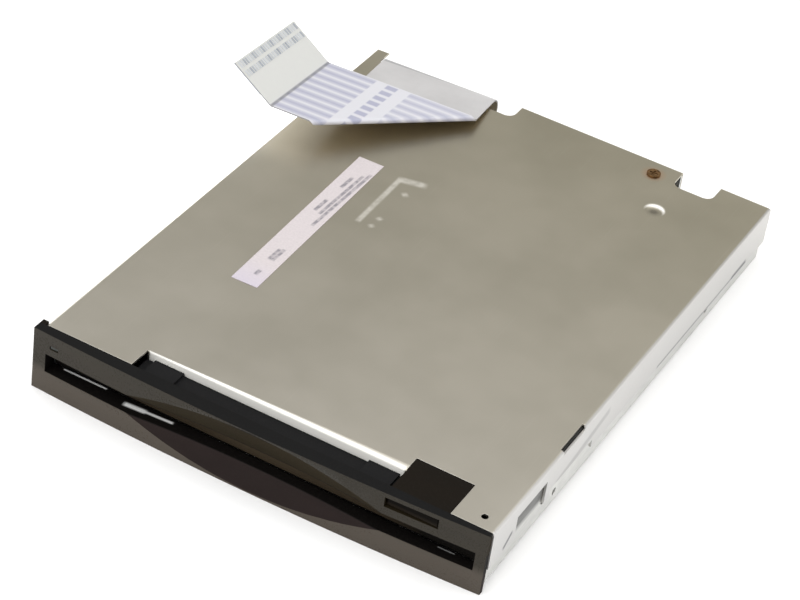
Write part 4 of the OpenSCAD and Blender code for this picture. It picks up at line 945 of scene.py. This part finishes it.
# Floor and light. Distances for the floor's tone are in millimetres
FLOOR_FRONT = Vector((0, -65.9, -1.4)) * MM
FLOOR_REAR = Vector((0, 62.4, 0)) * MM
FLOOR_GAP = 0.05 * MM
FLOOR_HALF = 5
FLOOR_FIBRE = 800
FLOOR_TONES = ((0.86, 0.86, 0.86), (0.9, 0.9, 0.9))
FLOOR_FAR = (450, 900)
GLOW = (-155, 35)
GLOW_R = 110
GLOW_STRENGTH = (0.14, 2.6)


def make_floor():
    """Wide pale paper under the bezel's lower and the frame's rear edge, glowing faintly near the drive,
    strongly in a patch at the left that lights the cable from below, and fully far off.
    """
    across = Vector((1, 0, 0))
    ahead = (FLOOR_REAR - FLOOR_FRONT).normalized()
    middle = (FLOOR_FRONT + FLOOR_REAR) / 2 - across.cross(ahead) * FLOOR_GAP
    corners = [middle + across * x * FLOOR_HALF + ahead * y * FLOOR_HALF
               for x, y in ((-1, -1), (1, -1), (1, 1), (-1, 1))]
    mesh = bpy.data.meshes.new("floor")
    mesh.from_pydata(corners, [], [(0, 1, 2, 3)])
    material, tree, shader = new_material("floor_paper", Specular_IOR_Level=0.2, Emission_Color=(1, 1, 1, 1))
    place = object_place(tree)
    fibre = noise(tree, place, FLOOR_FIBRE, 3)
    glow = between(tree, from_point(tree, place, GLOW), GLOW_R, GLOW_R / 2, *GLOW_STRENGTH)
    far = between(tree, from_point(tree, place, (0, 0)), *FLOOR_FAR)
    connect(tree, shader, Base_Color=blend(tree, fibre, *FLOOR_TONES),
            Roughness=between(tree, fibre, *SPREAD, 0.7, 0.85),
            Emission_Strength=maths(tree, "MAXIMUM", glow, far))
    mesh.materials.append(material)
    floor = bpy.data.objects.new("floor", mesh)
    bpy.context.scene.collection.objects.link(floor)


def area_light(name, place, aim, size, watts):
    """A rectangular light box that faces its aim."""
    data = bpy.data.lights.new(name, "AREA")
    data.shape = "RECTANGLE"
    data.size, data.size_y = size
    data.energy = watts
    light = bpy.data.objects.new(name, data)
    light.location = place
    light.rotation_euler = (Vector(aim) - Vector(place)).to_track_quat("-Z", "Y").to_euler()
    bpy.context.scene.collection.objects.link(light)


# Each box has a place, an aim and a size in metres, and its watts
LIGHT_BOXES = (("right_box", (0.9, 0.1, 0.5), (0, 0, 0), (1.4, 0.9), 5),
               ("top_box", (0.1, 0.1, 1.1), (0, 0, 0), (1.5, 1.5), 7),
               ("front_box", (-0.3, -0.85, 0.6), (0, -0.05, 0), (1.4, 1.4), 12),
               ("left_box", (-0.9, 0.05, 0.45), (0, 0, 0), (1.4, 0.8), 3))
FRONT_ROOM = (0.05, 0.049, 0.047)
REAR_ROOM = (0.56, 0.55, 0.52)
REAR_HIGH = (0.74, 0.73, 0.71)
HIGH_FADE = (0.45, 0.75)
REAR_FADE = (-0.75, 0.5)


def make_light():
    """Broad soft boxes at both sides, above and in front, in a room that is pale behind and dim in front."""
    world = bpy.data.worlds.new("room")
    bpy.context.scene.world = world
    world.use_nodes = True
    tree = world.node_tree
    toward = axes_of(tree, add(tree, "TexCoord").outputs["Generated"])
    rear = blend(tree, between(tree, toward["Z"], *HIGH_FADE), REAR_ROOM, REAR_HIGH)
    shade = blend(tree, between(tree, toward["Y"], *REAR_FADE), FRONT_ROOM, rear)
    tree.links.new(shade, tree.nodes["Background"].inputs["Color"])
    for box in LIGHT_BOXES:
        area_light(*box)
    bpy.context.scene.view_settings.view_transform = "Standard"


make_camera()
materials = make_materials()
make_cable()
for node, obj in NODES.items():
    obj.material_slots[0].material = materials[SLOT_OF[node]]
soften("top_cover", 0.06 * MM, 2, ((cover_bend, COVER_BEND_R), (lip_bend, LIP_BEND_R)))
finish_face(soften("front_bezel", 0.3 * MM, 3), bezel_outer("bezel_face"))
soften("eject_button", 0.25 * MM, 3)
soften("activity_light", 0.2 * MM, 3)
soften("dust_door", 0.12 * MM)
soften("frame", 0.1 * MM)
make_springs()
make_floor()
make_light()
